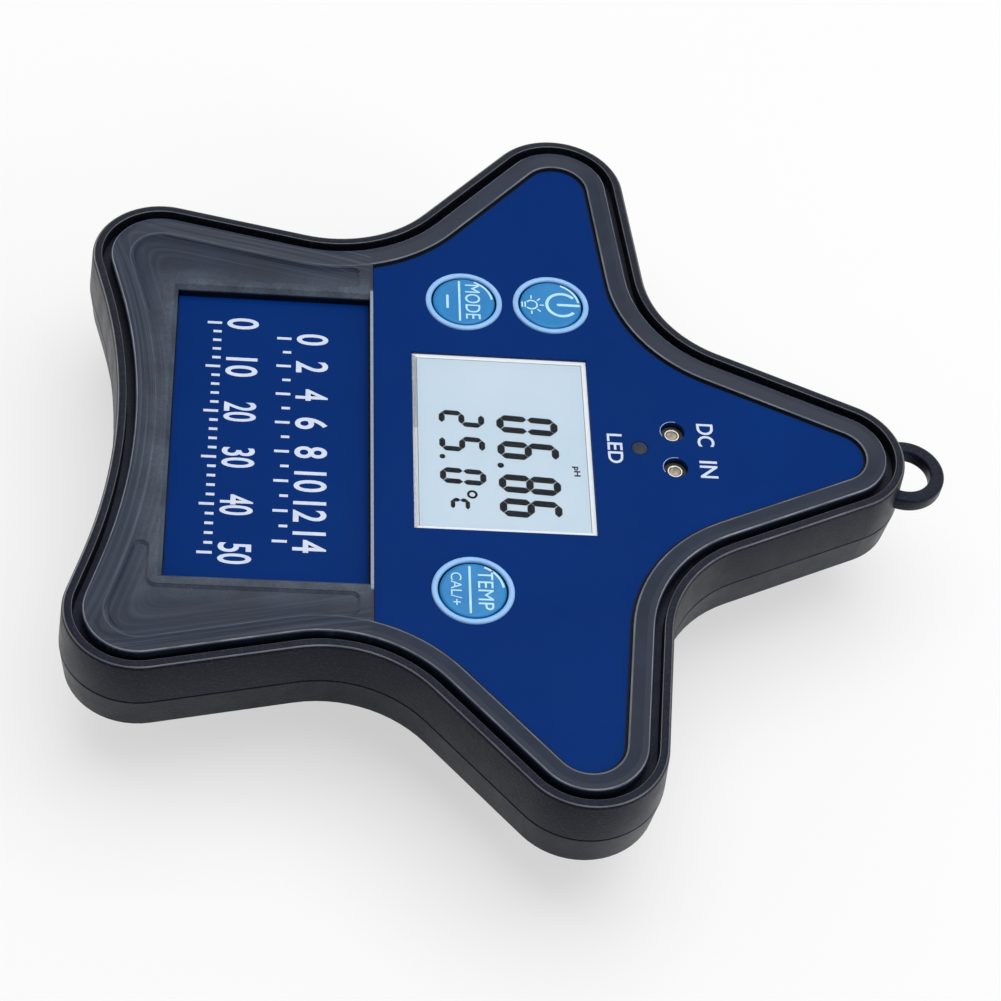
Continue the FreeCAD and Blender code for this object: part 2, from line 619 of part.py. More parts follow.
def troughShape():
    """The shallow trough in the lower frame, between the slope and lips round the recess."""
    body = newBody("FrameTrough")
    outline = sketchOn(body, "TroughOutline", troughFloor)
    starOutline(outline, "Sizes.panelInset + Sizes.troughMargin")
    pad(body, outline, f"{slopeFoot} - {troughFloor}")
    lips = sketchOn(body, "Lips", slopeFoot)
    reach = "(Sizes.sideTipX + Sizes.sideTipRadius)"
    top = "(Sizes.topTipY + Sizes.topTipRadius)"
    side = f"({recessWidth} / 2 + Sizes.troughLip)"
    border = "(Sizes.panelBorderY - Sizes.troughLip)"
    foot = f"({recessMidY} - Sizes.recessHeight / 2 - Sizes.troughLip)"
    polygon(lips, [(f"-{reach}", top), (f"-{reach}", border), (f"-{side}", border),
                   (f"-{side}", foot), (side, foot), (side, border), (reach, border),
                   (reach, top)])
    pocket(body, lips, f"{slopeFoot} - {troughFloor}")
    uprights = [f"Edge{index}" for index, edge in enumerate(body.Shape.Edges, start=1)
                if edge.Curve.TypeId == "Part::GeomLine"
                and edge.BoundBox.ZLength > number("Sizes.troughDepth") / 2
                and any(abs(edge.CenterOfMass.y - number(level)) < 0.01 for level in (border, foot))]
    dress(body, "Fillet", uprights, "Sizes.troughCorner")
    dress(body, "Chamfer", edgesAt(body, troughFloor), "Sizes.troughChamfer")
    return body


def makeFacePanel():
    body = panelShape("face_panel", "Sizes.panelInset + Sizes.panelGap", panelSeat, panelTop,
                      "Sizes.panelBorderY + Sizes.panelGap")
    cutOpenings(body, panelTop, "Sizes.panelThickness",
                "Sizes.keyRingRadius + Sizes.smallGap", "Sizes.lampRadius + Sizes.smallGap")
    keep("face_panel", body)


def makeLabelPlate():
    width = f"{recessWidth} - 2 * Sizes.labelGap"
    length = "Sizes.recessHeight - 2 * Sizes.labelGap"
    top = f"({labelSeat} + Sizes.labelThickness)"
    keep("label_plate", block("label_plate", width, length, labelSeat, top, "0", recessMidY))


def makeDisplay():
    """A white frame on the board, with the light box and glass in it and the window on it."""
    y = "Sizes.displayY"
    outer = ("(Sizes.displayWidth - 2 * Sizes.displayGap)",
             "(Sizes.displayHeight - 2 * Sizes.displayGap)")
    inner = [f"({side} - 2 * Sizes.holderWall)" for side in outer]
    width, length = [f"({side} - 2 * Sizes.displayGap)" for side in inner]
    case = newBody("lcd_holder")
    frame = sketchOn(case, "Frame", boardTop)
    rectangle(frame, *outer, "0", y)
    rectangle(frame, *inner, "0", y)
    pad(case, frame, f"{panelSeat} - {boardTop}")
    keep("lcd_holder", case)
    keep("lcd_window", block("lcd_window", *outer, panelSeat, panelTop, "0", y))
    keep("lcd_glass", block("lcd_glass", width, length, glassUnder, glassTop, "0", y))
    strip = "(Sizes.connectorWidth + Sizes.connectorGap)"
    keep("lcd_backlight", block("lcd_backlight", width, f"{length} - {strip}", boardTop,
                                glassUnder, "0", f"{y} + {strip} / 2"))
    connectorY = f"({y} - {length} / 2 + Sizes.connectorWidth / 2)"
    keep("lcd_connector", block("lcd_connector", f"{width} - 2 * Sizes.connectorInset",
                                "Sizes.connectorWidth", boardTop, glassUnder, "0", connectorY))


def makeKeys():
    rings = []
    seals = []
    switches = []
    capRadius = "(Sizes.keyRingRadius - Sizes.keyRingWidth - Sizes.keyGap)"
    capTop = f"({panelTop} + Sizes.keyProud)"
    capUnder = f"({capTop} - Sizes.keyThickness)"
    guide = f"({switchTop} - Sizes.plungerGuide)"
    for name, x, y in keySpots:
        key = newBody(f"{name}_key")
        revolve(key, [("0", stemFoot), ("Sizes.stemRadius", stemFoot),
                      ("Sizes.stemRadius", capUnder), (capRadius, capUnder),
                      (capRadius, f"{capTop} - Sizes.keyEdge"),
                      (f"{capRadius} - Sizes.keyEdge", capTop),
                      (f"{capRadius} - 2 * Sizes.keyEdge", capTop),
                      (f"{capRadius} - 4 * Sizes.keyEdge", f"{capTop} - Sizes.keyDish"),
                      ("0", f"{capTop} - Sizes.keyDish")])
        keep(f"{name}_key", place(key, x, y))
        plungerFoot = f"({guide} + Sizes.keyTravel + Sizes.travelSpare)"
        keep(f"{name}_plunger", cylinder(f"{name}_plunger", "Sizes.plungerRadius", plungerFoot,
                                         stemFoot, x, y))
        ringTop = f"({panelTop} + Sizes.keyRingProud)"
        rings.append(cut(f"{name}_ring", cylinder(f"{name}_ring_disc", "Sizes.keyRingRadius",
                                                  panelSeat, ringTop, x, y),
                         cylinder(f"{name}_ring_hole", "Sizes.keyRingRadius - Sizes.keyRingWidth",
                                  panelSeat, ringTop, x, y)))
        sealUnder = f"({coverSeat} - Sizes.keySealThickness)"
        seals.append(cut(f"{name}_seal", cylinder(f"{name}_seal_disc", "Sizes.keySealRadius",
                                                  sealUnder, coverSeat, x, y),
                         cylinder(f"{name}_seal_hole", "Sizes.stemRadius + Sizes.keyGap",
                                  sealUnder, coverSeat, x, y)))
        switches.append(cut(f"{name}_switch", block(f"{name}_switch_case", "Sizes.switchSide",
                                                    "Sizes.switchSide", boardTop, switchTop, x, y),
                            cylinder(f"{name}_switch_hole", "Sizes.plungerRadius + Sizes.plungerGap",
                                     guide, switchTop, x, y)))
    group("key_rings", rings)
    group("key_seals", seals)
    group("key_switches", switches)


def makeContacts():
    top = f"({panelTop} - Sizes.contactDepth)"
    bushingFoot = f"({coverSeat} - Sizes.bushingThickness)"
    flangeFoot = f"({bushingFoot} - Sizes.contactFlange)"
    pins = []
    bushings = []
    for index, (x, y) in enumerate(contactSpots):
        pins.append(fuse(f"contact_{index}", [
            cylinder(f"contact_head_{index}", "Sizes.contactRadius", bushingFoot, top, x, y),
            cylinder(f"contact_flange_{index}", "Sizes.contactFlangeRadius", flangeFoot,
                     bushingFoot, x, y),
            cylinder(f"contact_tail_{index}", "Sizes.contactTailRadius", boardTop, flangeFoot,
                     x, y)]))
        solid = fuse(f"bushing_solid_{index}", [
            cylinder(f"bushing_disc_{index}", "Sizes.bushingRadius", bushingFoot, coverSeat, x, y),
            cylinder(f"bushing_nose_{index}", "Sizes.contactHoleRadius - Sizes.smallGap",
                     coverSeat, f"({coverSeat} + Sizes.bushingNose)", x, y)])
        bore = cylinder(f"bushing_bore_{index}", "Sizes.contactRadius + Sizes.smallGap",
                        bushingFoot, f"({coverSeat} + Sizes.bushingNose)", x, y)
        bushings.append(cut(f"bushing_{index}", solid, bore))
    group("charge_contacts", pins)
    group("contact_bushings", bushings)


def makeLamp():
    chipTop = f"({boardTop} + Sizes.lampChipHeight)"
    keep("status_led", block("status_led", "Sizes.lampChipSide", "Sizes.lampChipSide", boardTop,
                             chipTop, "0", lampY))
    keep("led_lens", cylinder("led_lens", "Sizes.lampRadius", f"({chipTop} + Sizes.smallGap)",
                              f"({panelTop} + Sizes.lampProud)", "0", lampY))


def makeBoard():
    body = newBody("main_board")
    outline = sketchOn(body, "BoardOutline", boardTop)
    wide, slim = f"({sideKeyX} + Sizes.boardOverhang)", "Sizes.tongueHalfWidth"
    foot, shoulder, tip = boardFootY, boardTopY, f"({contactY} + Sizes.tongueOverhang)"
    polygon(outline, [(f"-{wide}", foot), (wide, foot), (wide, shoulder), (slim, shoulder),
                      (slim, tip), (f"-{slim}", tip), (f"-{slim}", shoulder),
                      (f"-{wide}", shoulder)])
    for x, y in postSpots:
        circle(outline, "Sizes.boardScrewRadius + Sizes.screwClearance", x, y)
    pad(body, outline, "Sizes.boardThickness", down=True)
    keep("main_board", body)
    keep("processor_chip", block("processor_chip", "Sizes.processorSide", "Sizes.processorSide",
                                 f"({boardUnder} - Sizes.processorHeight)", boardUnder,
                                 "Sizes.processorX"))
    keep("radio_module", block("radio_module", "Sizes.radioWidth", "Sizes.radioLength",
                               f"({boardUnder} - Sizes.radioHeight)", boardUnder,
                               "Sizes.radioX"))
    keep("battery_connector", block("battery_connector", "Sizes.plugWidth", "Sizes.plugDepth",
                                    f"({boardUnder} - Sizes.plugHeight)", boardUnder,
                                    "Sizes.plugX", f"{boardFootY} + Sizes.plugDepth / 2"))
    screws = []
    for index, (x, y) in enumerate(postSpots):
        screws.append(makeScrew(f"board_screw_{index}", x, y, boardUnder, "Sizes.boardScrewHeadRadius",
                                f"({boardUnder} - Sizes.boardScrewHead)", "Sizes.boardScrewRadius",
                                f"({boardTop} + Sizes.boardScrewBite)"))
    group("board_screws", screws)


def makeScrew(name, x, y, seat, headRadius, headEnd, shankRadius, shankEnd):
    """A plain screw: a head on one side of its seat and a shank on the other."""
    rising = number(shankEnd) > number(seat)
    head = (headEnd, seat) if rising else (seat, headEnd)
    shank = (seat, shankEnd) if rising else (shankEnd, seat)
    return fuse(name, [cylinder(f"{name}_head", headRadius, *head, x, y),
                       cylinder(f"{name}_shank", shankRadius, *shank, x, y)])


def makeHousingScrews():
    seat = f"({base} + Sizes.screwSeat)"
    screws = []
    for index, (x, y) in enumerate(screwSpots):
        screws.append(makeScrew(f"housing_screw_{index}", x, y, seat, "Sizes.screwHeadRadius",
                                f"({seat} - Sizes.screwHeadHeight)", "Sizes.screwRadius",
                                f"({parting} + Sizes.screwBite)"))
    group("housing_screws", screws)


def makeBattery():
    padTop = f"({floorTop} + Sizes.batteryPadHeight)"
    margin = "2 * Sizes.batteryPadMargin"
    y = f"({boardFootY} - Sizes.batteryGap - Sizes.batteryLength / 2)"
    keep("battery_pad", block("battery_pad", f"Sizes.batteryWidth - {margin}",
                              f"Sizes.batteryLength - {margin}", floorTop, padTop, "0", y))
    keep("battery", block("battery", "Sizes.batteryWidth", "Sizes.batteryLength", padTop,
                          f"({padTop} + Sizes.batteryHeight)", "0", y))


def makeProbeHead():
    body = newBody("sensor_body")
    barrel = "(Sizes.portRadius - Sizes.headGap)"
    face = probeFace
    grooveFoot = f"({base} - Sizes.ringDrop)"
    ringSpan = "(2 * (Sizes.ringSection + Sizes.ringGap))"
    grooveRoot = f"(Sizes.portRadius - {ringSpan})"
    revolve(body, [("0", face), (f"{barrel} - Sizes.headChamfer", face),
                   (barrel, f"{face} + Sizes.headChamfer"), (barrel, grooveFoot),
                   (grooveRoot, grooveFoot), (grooveRoot, f"{grooveFoot} + {ringSpan}"),
                   (barrel, f"{grooveFoot} + {ringSpan}"), (barrel, floorTop),
                   ("Sizes.flangeRadius", floorTop), ("Sizes.flangeRadius", flangeTop),
                   ("0", flangeTop)])
    bulbHole = sketchOn(body, "BulbHole", face)
    circle(bulbHole, "Sizes.bulbRadius + Sizes.smallGap", "0", "Sizes.bulbY")
    pocket(body, bulbHole, "Sizes.bulbDepth", up=True)
    probeHoles = sketchOn(body, "ProbeHoles", face)
    gap = "Sizes.smallGap"
    circle(probeHoles, f"Sizes.junctionRadius + {gap}", "Sizes.junctionX", "Sizes.junctionY")
    circle(probeHoles, f"Sizes.temperatureRadius + {gap}", "Sizes.temperatureX", "Sizes.junctionY")
    for side in ("", "-"):
        circle(probeHoles, f"Sizes.pinRadius + {gap}", f"{side}Sizes.pinX", "Sizes.pinY")
    pocket(body, probeHoles, "Sizes.probeDepth", up=True)
    screwHoles = sketchOn(body, "FlangeHoles", flangeTop)
    for x, y in headScrewSpots:
        circle(screwHoles, "Sizes.headScrewRadius + Sizes.smallGap", x, y)
    pocket(body, screwHoles, "Sizes.flangeThickness")
    keep("sensor_body", body)

    # the sealing ring's section, flat where the groove and the port squeeze it
    ring = newBody("sensor_oring")
    middle = f"(Sizes.portRadius - {ringSpan} / 2)"
    height = f"({grooveFoot} + {ringSpan} / 2)"
    corners = []
    for across, up in ((1, -0.5), (1, 0.5), (0.5, 1), (-0.5, 1), (-1, 0.5), (-1, -0.5),
                       (-0.5, -1), (0.5, -1)):
        reach = ["Sizes.ringSection" if abs(side) == 1 else "Sizes.ringFlat" for side in (across, up)]
        signs = ["+" if side > 0 else "-" for side in (across, up)]
        corners.append((f"{middle} {signs[0]} {reach[0]}", f"{height} {signs[1]} {reach[1]}"))
    revolve(ring, corners)
    keep("sensor_oring", ring)

    screws = []
    for index, (x, y) in enumerate(headScrewSpots):
        screws.append(makeScrew(f"sensor_screw_{index}", x, y, flangeTop,
                                "Sizes.headScrewHeadRadius", f"({flangeTop} + Sizes.headScrewHead)",
                                "Sizes.headScrewRadius", f"({floorTop} - Sizes.headScrewBite)"))
    group("sensor_screws", screws)
    keep("sensor_board", cylinder("sensor_board", "Sizes.probeBoardRadius", flangeTop,
                                  probeBoardTop))
    keep("sensor_header", block("sensor_header", "Sizes.headerWidth", "Sizes.headerDepth",
                                probeBoardTop, boardUnder))


def makeProbes():
    face = probeFace
    top = f"({face} + Sizes.bulbDepth)"
    middle = f"({face} - Sizes.bulbReach + Sizes.bulbRadius)"
    x, y = "0", "Sizes.bulbY"
    inner = "(Sizes.bulbRadius - Sizes.bulbWall)"
    outside = fuse("bulb_outside", [cylinder("bulb_tube", "Sizes.bulbRadius", middle, top, x, y),
                                    ball("bulb_end", "Sizes.bulbRadius", x, y, middle)])
    lid = f"({top} - Sizes.bulbWall)"
    inside = fuse("bulb_inside", [cylinder("bulb_bore", inner, middle, lid, x, y),
                                  ball("bulb_cavity", inner, x, y, middle)])
    keep("ph_bulb", cut("ph_bulb", outside, inside))
    keep("ph_wire", cylinder("ph_wire", "Sizes.bulbWireRadius", f"({face} - Sizes.bulbRadius / 2)",
                             lid, x, y))
    seat = f"({face} + Sizes.probeDepth)"
    keep("reference_junction", cylinder("reference_junction", "Sizes.junctionRadius",
                                        f"({face} - Sizes.junctionReach)", seat,
                                        "Sizes.junctionX", "Sizes.junctionY"))
    keep("temperature_probe", roundedPin("temperature_probe", "Sizes.temperatureRadius",
                                         f"({face} - Sizes.temperatureReach)", seat,
                                         "Sizes.temperatureX", "Sizes.junctionY"))
    pins = []
    for name, pinX in (("right", "Sizes.pinX"), ("left", "-Sizes.pinX")):
        pins.append(roundedPin(f"{name}_pin", "Sizes.pinRadius",
                               f"({face} - Sizes.pinReach)", seat, pinX, "Sizes.pinY"))
    group("conductivity_pins", pins)


def roundedPin(name, radius, tip, seat, x, y):
    middle = f"({tip} + {radius})"
    return fuse(name, [cylinder(f"{name}_rod", radius, middle, seat, x, y),
                       ball(f"{name}_end", radius, x, y, middle)])


def makeGuard():
    body = newBody("probe_guard")
    revolve(body, [("Sizes.guardMouthRadius", "0"), (f"{guardOuter} - Sizes.guardChamfer", "0"),
                   (guardOuter, "Sizes.guardChamfer"), (guardOuter, guardTop),
                   (guardInner, guardTop), (guardInner, "Sizes.guardFoot"),
                   ("Sizes.guardMouthRadius", "Sizes.guardFoot")])
    slotTop = f"({collarFoot} - Sizes.slotDrop)"
    slot = sketchOn(body, "Slot", slotTop)
    sector(slot, f"{guardInner} - Sizes.guardGap", f"{guardOuter} + Sizes.guardGap",
           "-Sizes.slotAngle / 2", "Sizes.slotAngle / 2")
    slotCut = pocket(body, slot, f"{slotTop} - Sizes.guardFoot - Sizes.slotSill")
    polar(body, [slotCut], "Sizes.slotCount")
    lug = sketchOn(body, "Lug", lugFoot)
    sector(lug, f"{guardInner} - Sizes.lugReach", f"{guardInner} + Sizes.guardWall / 2",
           "-Sizes.lugAngle / 2", "Sizes.lugAngle / 2")
    lugPad = pad(body, lug, "Sizes.lugHeight")
    polar(body, [lugPad], "Sizes.lugCount")
    grip = sketchOn(body, "Grip", f"{guardTop} - Sizes.guardChamfer")
    circle(grip, "Sizes.gripRadius", guardOuter)
    gripPad = pad(body, grip, "Sizes.gripLength", down=True)
    polar(body, [gripPad], "Sizes.gripCount")
    keep("probe_guard", body)


def checkAndWrite():
    doc.recompute()
    for piece in doc.Objects:
        if "Invalid" in piece.State or "Error" in piece.State:
            raise RuntimeError(f"{piece.Label} failed: {piece.State}")
    for label, piece in nodes:
        if piece.Shape.isNull() or not piece.Shape.isValid():
            raise RuntimeError(f"{label} has no valid shape")
    os.makedirs("parts", exist_ok=True)
    for label, piece in nodes:
        piece.Shape.exportStep(f"parts/{label}.step")
        print(f"{label}: {len(piece.Shape.Solids)} solids, {piece.Shape.Volume:.1f} mm3")
    print(f"{len(nodes)} nodes")


makeUpperHousing()
makeLowerHousing()
makeSeal()
makeTopCover()
makeFacePanel()
makeLabelPlate()
makeDisplay()
makeKeys()
makeContacts()
makeLamp()
makeBoard()
makeHousingScrews()
makeBattery()
makeProbeHead()
makeProbes()
makeGuard()
checkAndWrite()
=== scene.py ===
import json
import math

import bmesh
import bpy
from mathutils import Matrix, Vector


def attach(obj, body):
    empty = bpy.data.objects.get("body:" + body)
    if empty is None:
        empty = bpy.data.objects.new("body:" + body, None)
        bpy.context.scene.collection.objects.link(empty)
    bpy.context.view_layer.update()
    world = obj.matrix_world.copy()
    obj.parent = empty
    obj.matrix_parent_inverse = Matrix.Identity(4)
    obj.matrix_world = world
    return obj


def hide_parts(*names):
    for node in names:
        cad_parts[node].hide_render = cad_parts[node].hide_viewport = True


# Star-shaped floating water meter: black shell, smoky top cover, blue face, display and keys.
# Lengths are in millimetres and become metres where a mesh is made.

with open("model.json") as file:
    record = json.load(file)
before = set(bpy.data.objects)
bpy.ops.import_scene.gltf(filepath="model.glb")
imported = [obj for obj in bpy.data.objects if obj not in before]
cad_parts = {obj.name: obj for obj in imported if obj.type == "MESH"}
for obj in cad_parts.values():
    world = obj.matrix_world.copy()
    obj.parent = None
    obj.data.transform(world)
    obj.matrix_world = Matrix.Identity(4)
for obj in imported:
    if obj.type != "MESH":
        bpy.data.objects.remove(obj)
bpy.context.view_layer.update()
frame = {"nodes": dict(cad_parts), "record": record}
scene = bpy.context.scene
mm = 0.001
mergeGap = 0.002
roundSteps = {"mark": 24, "well": 32, "pin": 48, "key": 96}  # steps along a round shape

# heights above the guard's foot
levels = {
    "parting": 25.4, "ledge": 30.2, "seat": 32.0, "label": 32.0, "glass": 33.1,
    "panelSeat": 33.2, "panel": 33.8, "capTop": 33.9, "rim": 35.0,
}
# outline of the star: tip circles and valley circles (x, y, radius), joined by tangents
star = {
    "topTip": (0.0, 61.2, 14.4), "sideTip": (68.5, 9.9, 14.8), "footTip": (43.6, -69.6, 14.2),
    "upperValley": (46.2, 50.2, 23.0), "lowerValley": (75.6, -36.0, 24.2),
    "footValley": (0.0, -198.0, 121.2), "arcStep": 3.0, "flatRadius": 60.0, "flatSteps": 3,
}


# helpers for meshes

def newMesh(name, corners, faces=(), edges=()):
    mesh = bpy.data.meshes.new(name)
    mesh.from_pydata([Vector(corner) * mm for corner in corners], edges, faces)
    mesh.update()
    return mesh


def newPiece(name, mesh):
    piece = bpy.data.objects.new(name, mesh)
    scene.collection.objects.link(piece)
    return piece


def evaluatedMesh(piece):
    graph = bpy.context.evaluated_depsgraph_get()
    return bpy.data.meshes.new_from_object(piece.evaluated_get(graph))


def finishPiece(piece, body, replaces=(), angle=35.0):
    # normals outward, smooth but for sharp edges, then its body and replaced nodes
    work = bmesh.new()
    work.from_mesh(piece.data)
    bmesh.ops.remove_doubles(work, verts=work.verts, dist=mergeGap * mm)
    bmesh.ops.recalc_face_normals(work, faces=work.faces)
    work.to_mesh(piece.data)
    work.free()
    piece.data.shade_smooth()
    piece.data.set_sharp_from_angle(angle=math.radians(angle))
    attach(piece, body)
    if replaces:
        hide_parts(*replaces)


def lathe(name, profile, material, x=0.0, y=0.0, steps=64, socket=None):
    # profile is (radius, z) from the axis or inner edge round to where it closes
    corners, faces = [], []
    flat = math.pi / 6
    for step in range(steps):
        angle = 2 * math.pi * step / steps
        for radius, z in profile:
            reach = radius
            if radius == socket:  # six flats, as in a driver socket
                reach = radius * math.cos(flat) / math.cos((angle + flat) % (2 * flat) - flat)
            corners.append((x + reach * math.cos(angle), y + reach * math.sin(angle), z))
    count = len(profile)
    for step in range(steps):
        here, there = step * count, (step + 1) % steps * count
        faces += [(here + index, there + index, there + index + 1, here + index + 1)
                  for index in range(count - 1)]
    mesh = newMesh(name, corners, faces)
    mesh.materials.append(material)
    return mesh


def joinedPiece(name, meshes, body, replaces=()):
    # one mesh that keeps each part's material
    work = bmesh.new()
    joined = bpy.data.meshes.new(name)
    for mesh in meshes:
        for material in mesh.materials:
            if material.name not in joined.materials:
                joined.materials.append(material)
        spots = [joined.materials.find(material.name) for material in mesh.materials]
        start = len(work.faces)
        work.from_mesh(mesh)
        work.faces.ensure_lookup_table()
        for face in work.faces[start:]:
            face.material_index = spots[face.material_index]
    work.to_mesh(joined)
    work.free()
    finishPiece(newPiece(name, joined), body, replaces)


# helpers for node trees

def addNode(tree, kind, inputs=None, **settings):
    node = tree.nodes.new(kind)
    for setting, value in settings.items():
        setattr(node, setting, value)
    for socket, value in (inputs or {}).items():
        if isinstance(value, bpy.types.NodeSocket):
            tree.links.new(value, node.inputs[socket])
        else:
            node.inputs[socket].default_value = value
    return node


def geo(tree, kind, inputs=None, **settings):
    return addNode(tree, "GeometryNode" + kind, inputs, **settings).outputs[0]


def shade(tree, kind, inputs=None, **settings):
    return addNode(tree, "ShaderNode" + kind, inputs, **settings).outputs[0]


def newTree(name, **sockets):
    tree = bpy.data.node_groups.new(name, "GeometryNodeTree")
    face = tree.interface
    face.new_socket("Geometry", in_out="INPUT", socket_type="NodeSocketGeometry")
    for label, kind in sockets.items():
        face.new_socket(label, in_out="INPUT", socket_type="NodeSocket" + kind)
    face.new_socket("Material", in_out="INPUT", socket_type="NodeSocketMaterial")
    face.new_socket("Geometry", in_out="OUTPUT", socket_type="NodeSocketGeometry")
    given = tree.nodes.new("NodeGroupInput")
    return tree, {socket.name: socket for socket in given.outputs if socket.name}


def thicken(tree, sheet, height):
    # a flat sheet becomes a closed slab
    thick = geo(tree, "ExtrudeMesh",
                {"Mesh": sheet, "Offset": (0.0, 0.0, 1.0), "Offset Scale": height,
                 "Individual": False})
    under = geo(tree, "FlipFaces", {0: sheet})
    whole = addNode(tree, "GeometryNodeJoinGeometry")
    tree.links.new(under, whole.inputs[0])
    tree.links.new(thick, whole.inputs[0])
    return whole.outputs[0]


def endTree(tree, given, geometry):
    real = geo(tree, "RealizeInstances", {0: geometry})
    painted = geo(tree, "SetMaterial", {"Geometry": real, "Material": given["Material"]})
    end = tree.nodes.new("NodeGroupOutput")
    tree.links.new(painted, end.inputs[0])
    return tree


def growPiece(name, seed, tree, **values):
    piece = newPiece(name, seed)
    modifier = piece.modifiers.new(tree.name, "NODES")
    modifier.node_group = tree
    for item in tree.interface.items_tree:
        if item.in_out == "INPUT" and item.name in values:
            modifier[item.identifier] = values[item.name]
    grown = evaluatedMesh(piece)
    piece.modifiers.remove(modifier)
    piece.data = grown
    grown.name = name
    return piece


# helpers for materials

def newFinish(name):
    made = bpy.data.materials.new(name)
    made.use_nodes = True
    tree = made.node_tree
    place = addNode(tree, "ShaderNodeTexCoord").outputs["Object"]
    return made, tree, tree.nodes["Principled BSDF"], place


def noise(tree, place, size, detail=3.0, rough=0.55):
    # size is the width of a feature in millimetres
    return shade(tree, "TexNoise", {"Vector": place, "Scale": 1 / (size * mm),
                                    "Detail": detail, "Roughness": rough})


def between(tree, factor, low, high, fromLow=0.3, fromHigh=0.7):
    return shade(tree, "MapRange", {"Value": factor, "From Min": fromLow, "From Max": fromHigh,
                                    "To Min": low, "To Max": high})


def fadeIn(tree, factor, start, full):
    return between(tree, factor, 0.0, 1.0, start, full)


def fadeOut(tree, factor, full, gone):
    return between(tree, factor, 1.0, 0.0, full, gone)


def window(tree, factor, start, full, fading, gone):
    return calc(tree, "MULTIPLY", fadeIn(tree, factor, start, full),
                fadeOut(tree, factor, fading, gone))


def times(tree, first, *others):
    for other in others:
        first = calc(tree, "MULTIPLY", first, other)
    return first


def ramp(tree, factor, stops):
    node = addNode(tree, "ShaderNodeValToRGB", {"Fac": factor})
    bar = node.color_ramp.elements
    while len(bar) < len(stops):
        bar.new(0.5)
    for element, (spot, colour) in zip(bar, stops):
        element.position = spot
        element.color = (*colour, 1.0)
    return node.outputs[0]


def calc(tree, operation, first, second, third=0.0):
    return shade(tree, "Math", {0: first, 1: second, 2: third}, operation=operation)


def mixTint(tree, factor, first, second):
    node = addNode(tree, "ShaderNodeMix", {0: factor}, data_type="RGBA")
    for socket, value in ((6, first), (7, second)):
        if isinstance(value, bpy.types.NodeSocket):
            tree.links.new(value, node.inputs[socket])
        else:
            node.inputs[socket].default_value = (*value, 1.0)
    return node.outputs[2]


def bump(tree, shader, height, depth, strength, under=None):
    inputs = {"Height": height, "Distance": depth * mm, "Strength": strength}
    if under:
        inputs["Normal"] = under
    out = shade(tree, "Bump", inputs)
    tree.links.new(out, shader.inputs["Normal"])
    return out


moulding = {"patchSpan": (0.3, 0.7), "patchDetail": 4.0, "smearShare": 3, "smear": (5.0, 0.65),
            "fleckSize": 1.5, "fleckSpan": (0.52, 0.72), "coatRough": 0.2}


def moulded(name, dark, light, rough, grain=0.35, depth=0.02, strength=0.35, patch=14.0,
            metal=0.0, coat=0.0, gloss=0.5, fleck=None, glossTint=None):
    # patchy colour, uneven gloss and a fine moulded grain, with paler flecks where asked
    made, tree, shader, place = newFinish(name)
    start, end = moulding["patchSpan"]
    tint = ramp(tree, noise(tree, place, patch, moulding["patchDetail"]),
                [(start, dark), (end, light)])
    if fleck:
        specks = noise(tree, place, grain * moulding["fleckSize"])
        tint = mixTint(tree, fadeIn(tree, specks, *moulding["fleckSpan"]), tint, fleck)
    tree.links.new(tint, shader.inputs["Base Color"])
    if glossTint:
        shader.inputs["Specular Tint"].default_value = (*glossTint, 1.0)
    smear = noise(tree, place, patch / moulding["smearShare"], *moulding["smear"])
    tree.links.new(between(tree, smear, *rough), shader.inputs["Roughness"])
    bump(tree, shader, noise(tree, place, grain, 2.0), depth, strength)
    shader.inputs["Metallic"].default_value = metal
    shader.inputs["Coat Weight"].default_value = coat
    shader.inputs["Coat Roughness"].default_value = moulding["coatRough"]
    shader.inputs["Specular IOR Level"].default_value = gloss
    return made


smoke = {
    "dark": (0.006, 0.011, 0.025), "light": (0.013, 0.021, 0.042), "drawn": (0.052, 0.065, 0.090),
    # the pale rib and crest colours are painted highlights, the deep colour is painted shade
    "haze": (0.095, 0.118, 0.155), "paintedShade": (0.001, 0.003, 0.010), "ribHighlight": (0.30, 0.35, 0.44),
    "crest": (0.30, 0.33, 0.38), "gloss": 0.20, "rough": (0.34, 0.48),
    "recess": (35.4, 18.8, -47.2), "border": -27.8, "sideLean": 12.25, "merge": 9.0,
    "cloud": (9.0, 5.0, 0.6), "fleck": (0.45, 4.0, 0.7), "streak": 0.6, "streakLength": 70.0,
    "streakBump": (0.03, 0.25), "fleckBump": (0.012, 0.35), "mottle": 0.35, "ribMottle": 0.7,
    # where each mask starts and is full, or fades and is gone
    "drawnSpan": (0.48, 0.74), "drawnInset": (1.0, 0.15, 6.0, 17.0), "hazeReach": (0.3, 6.5),
    "ribY": (-0.62, -0.5, 0.2, 0.4), "ribEnd": (1.2, 2.0), "ribZ": (33.9, 34.2),
    "crestTilt": (0.45, 0.6, 0.8, 0.9), "crestZ": (34.78, 34.84), "crestPatch": 6.0,
    "footTilt": (0.93, 0.95, 0.985, 0.995), "footZ": (34.38, 34.40, 34.46, 34.49),
    "footShare": (0.5, 0.16), "paintedShadeZ": (33.1, 33.7),
}


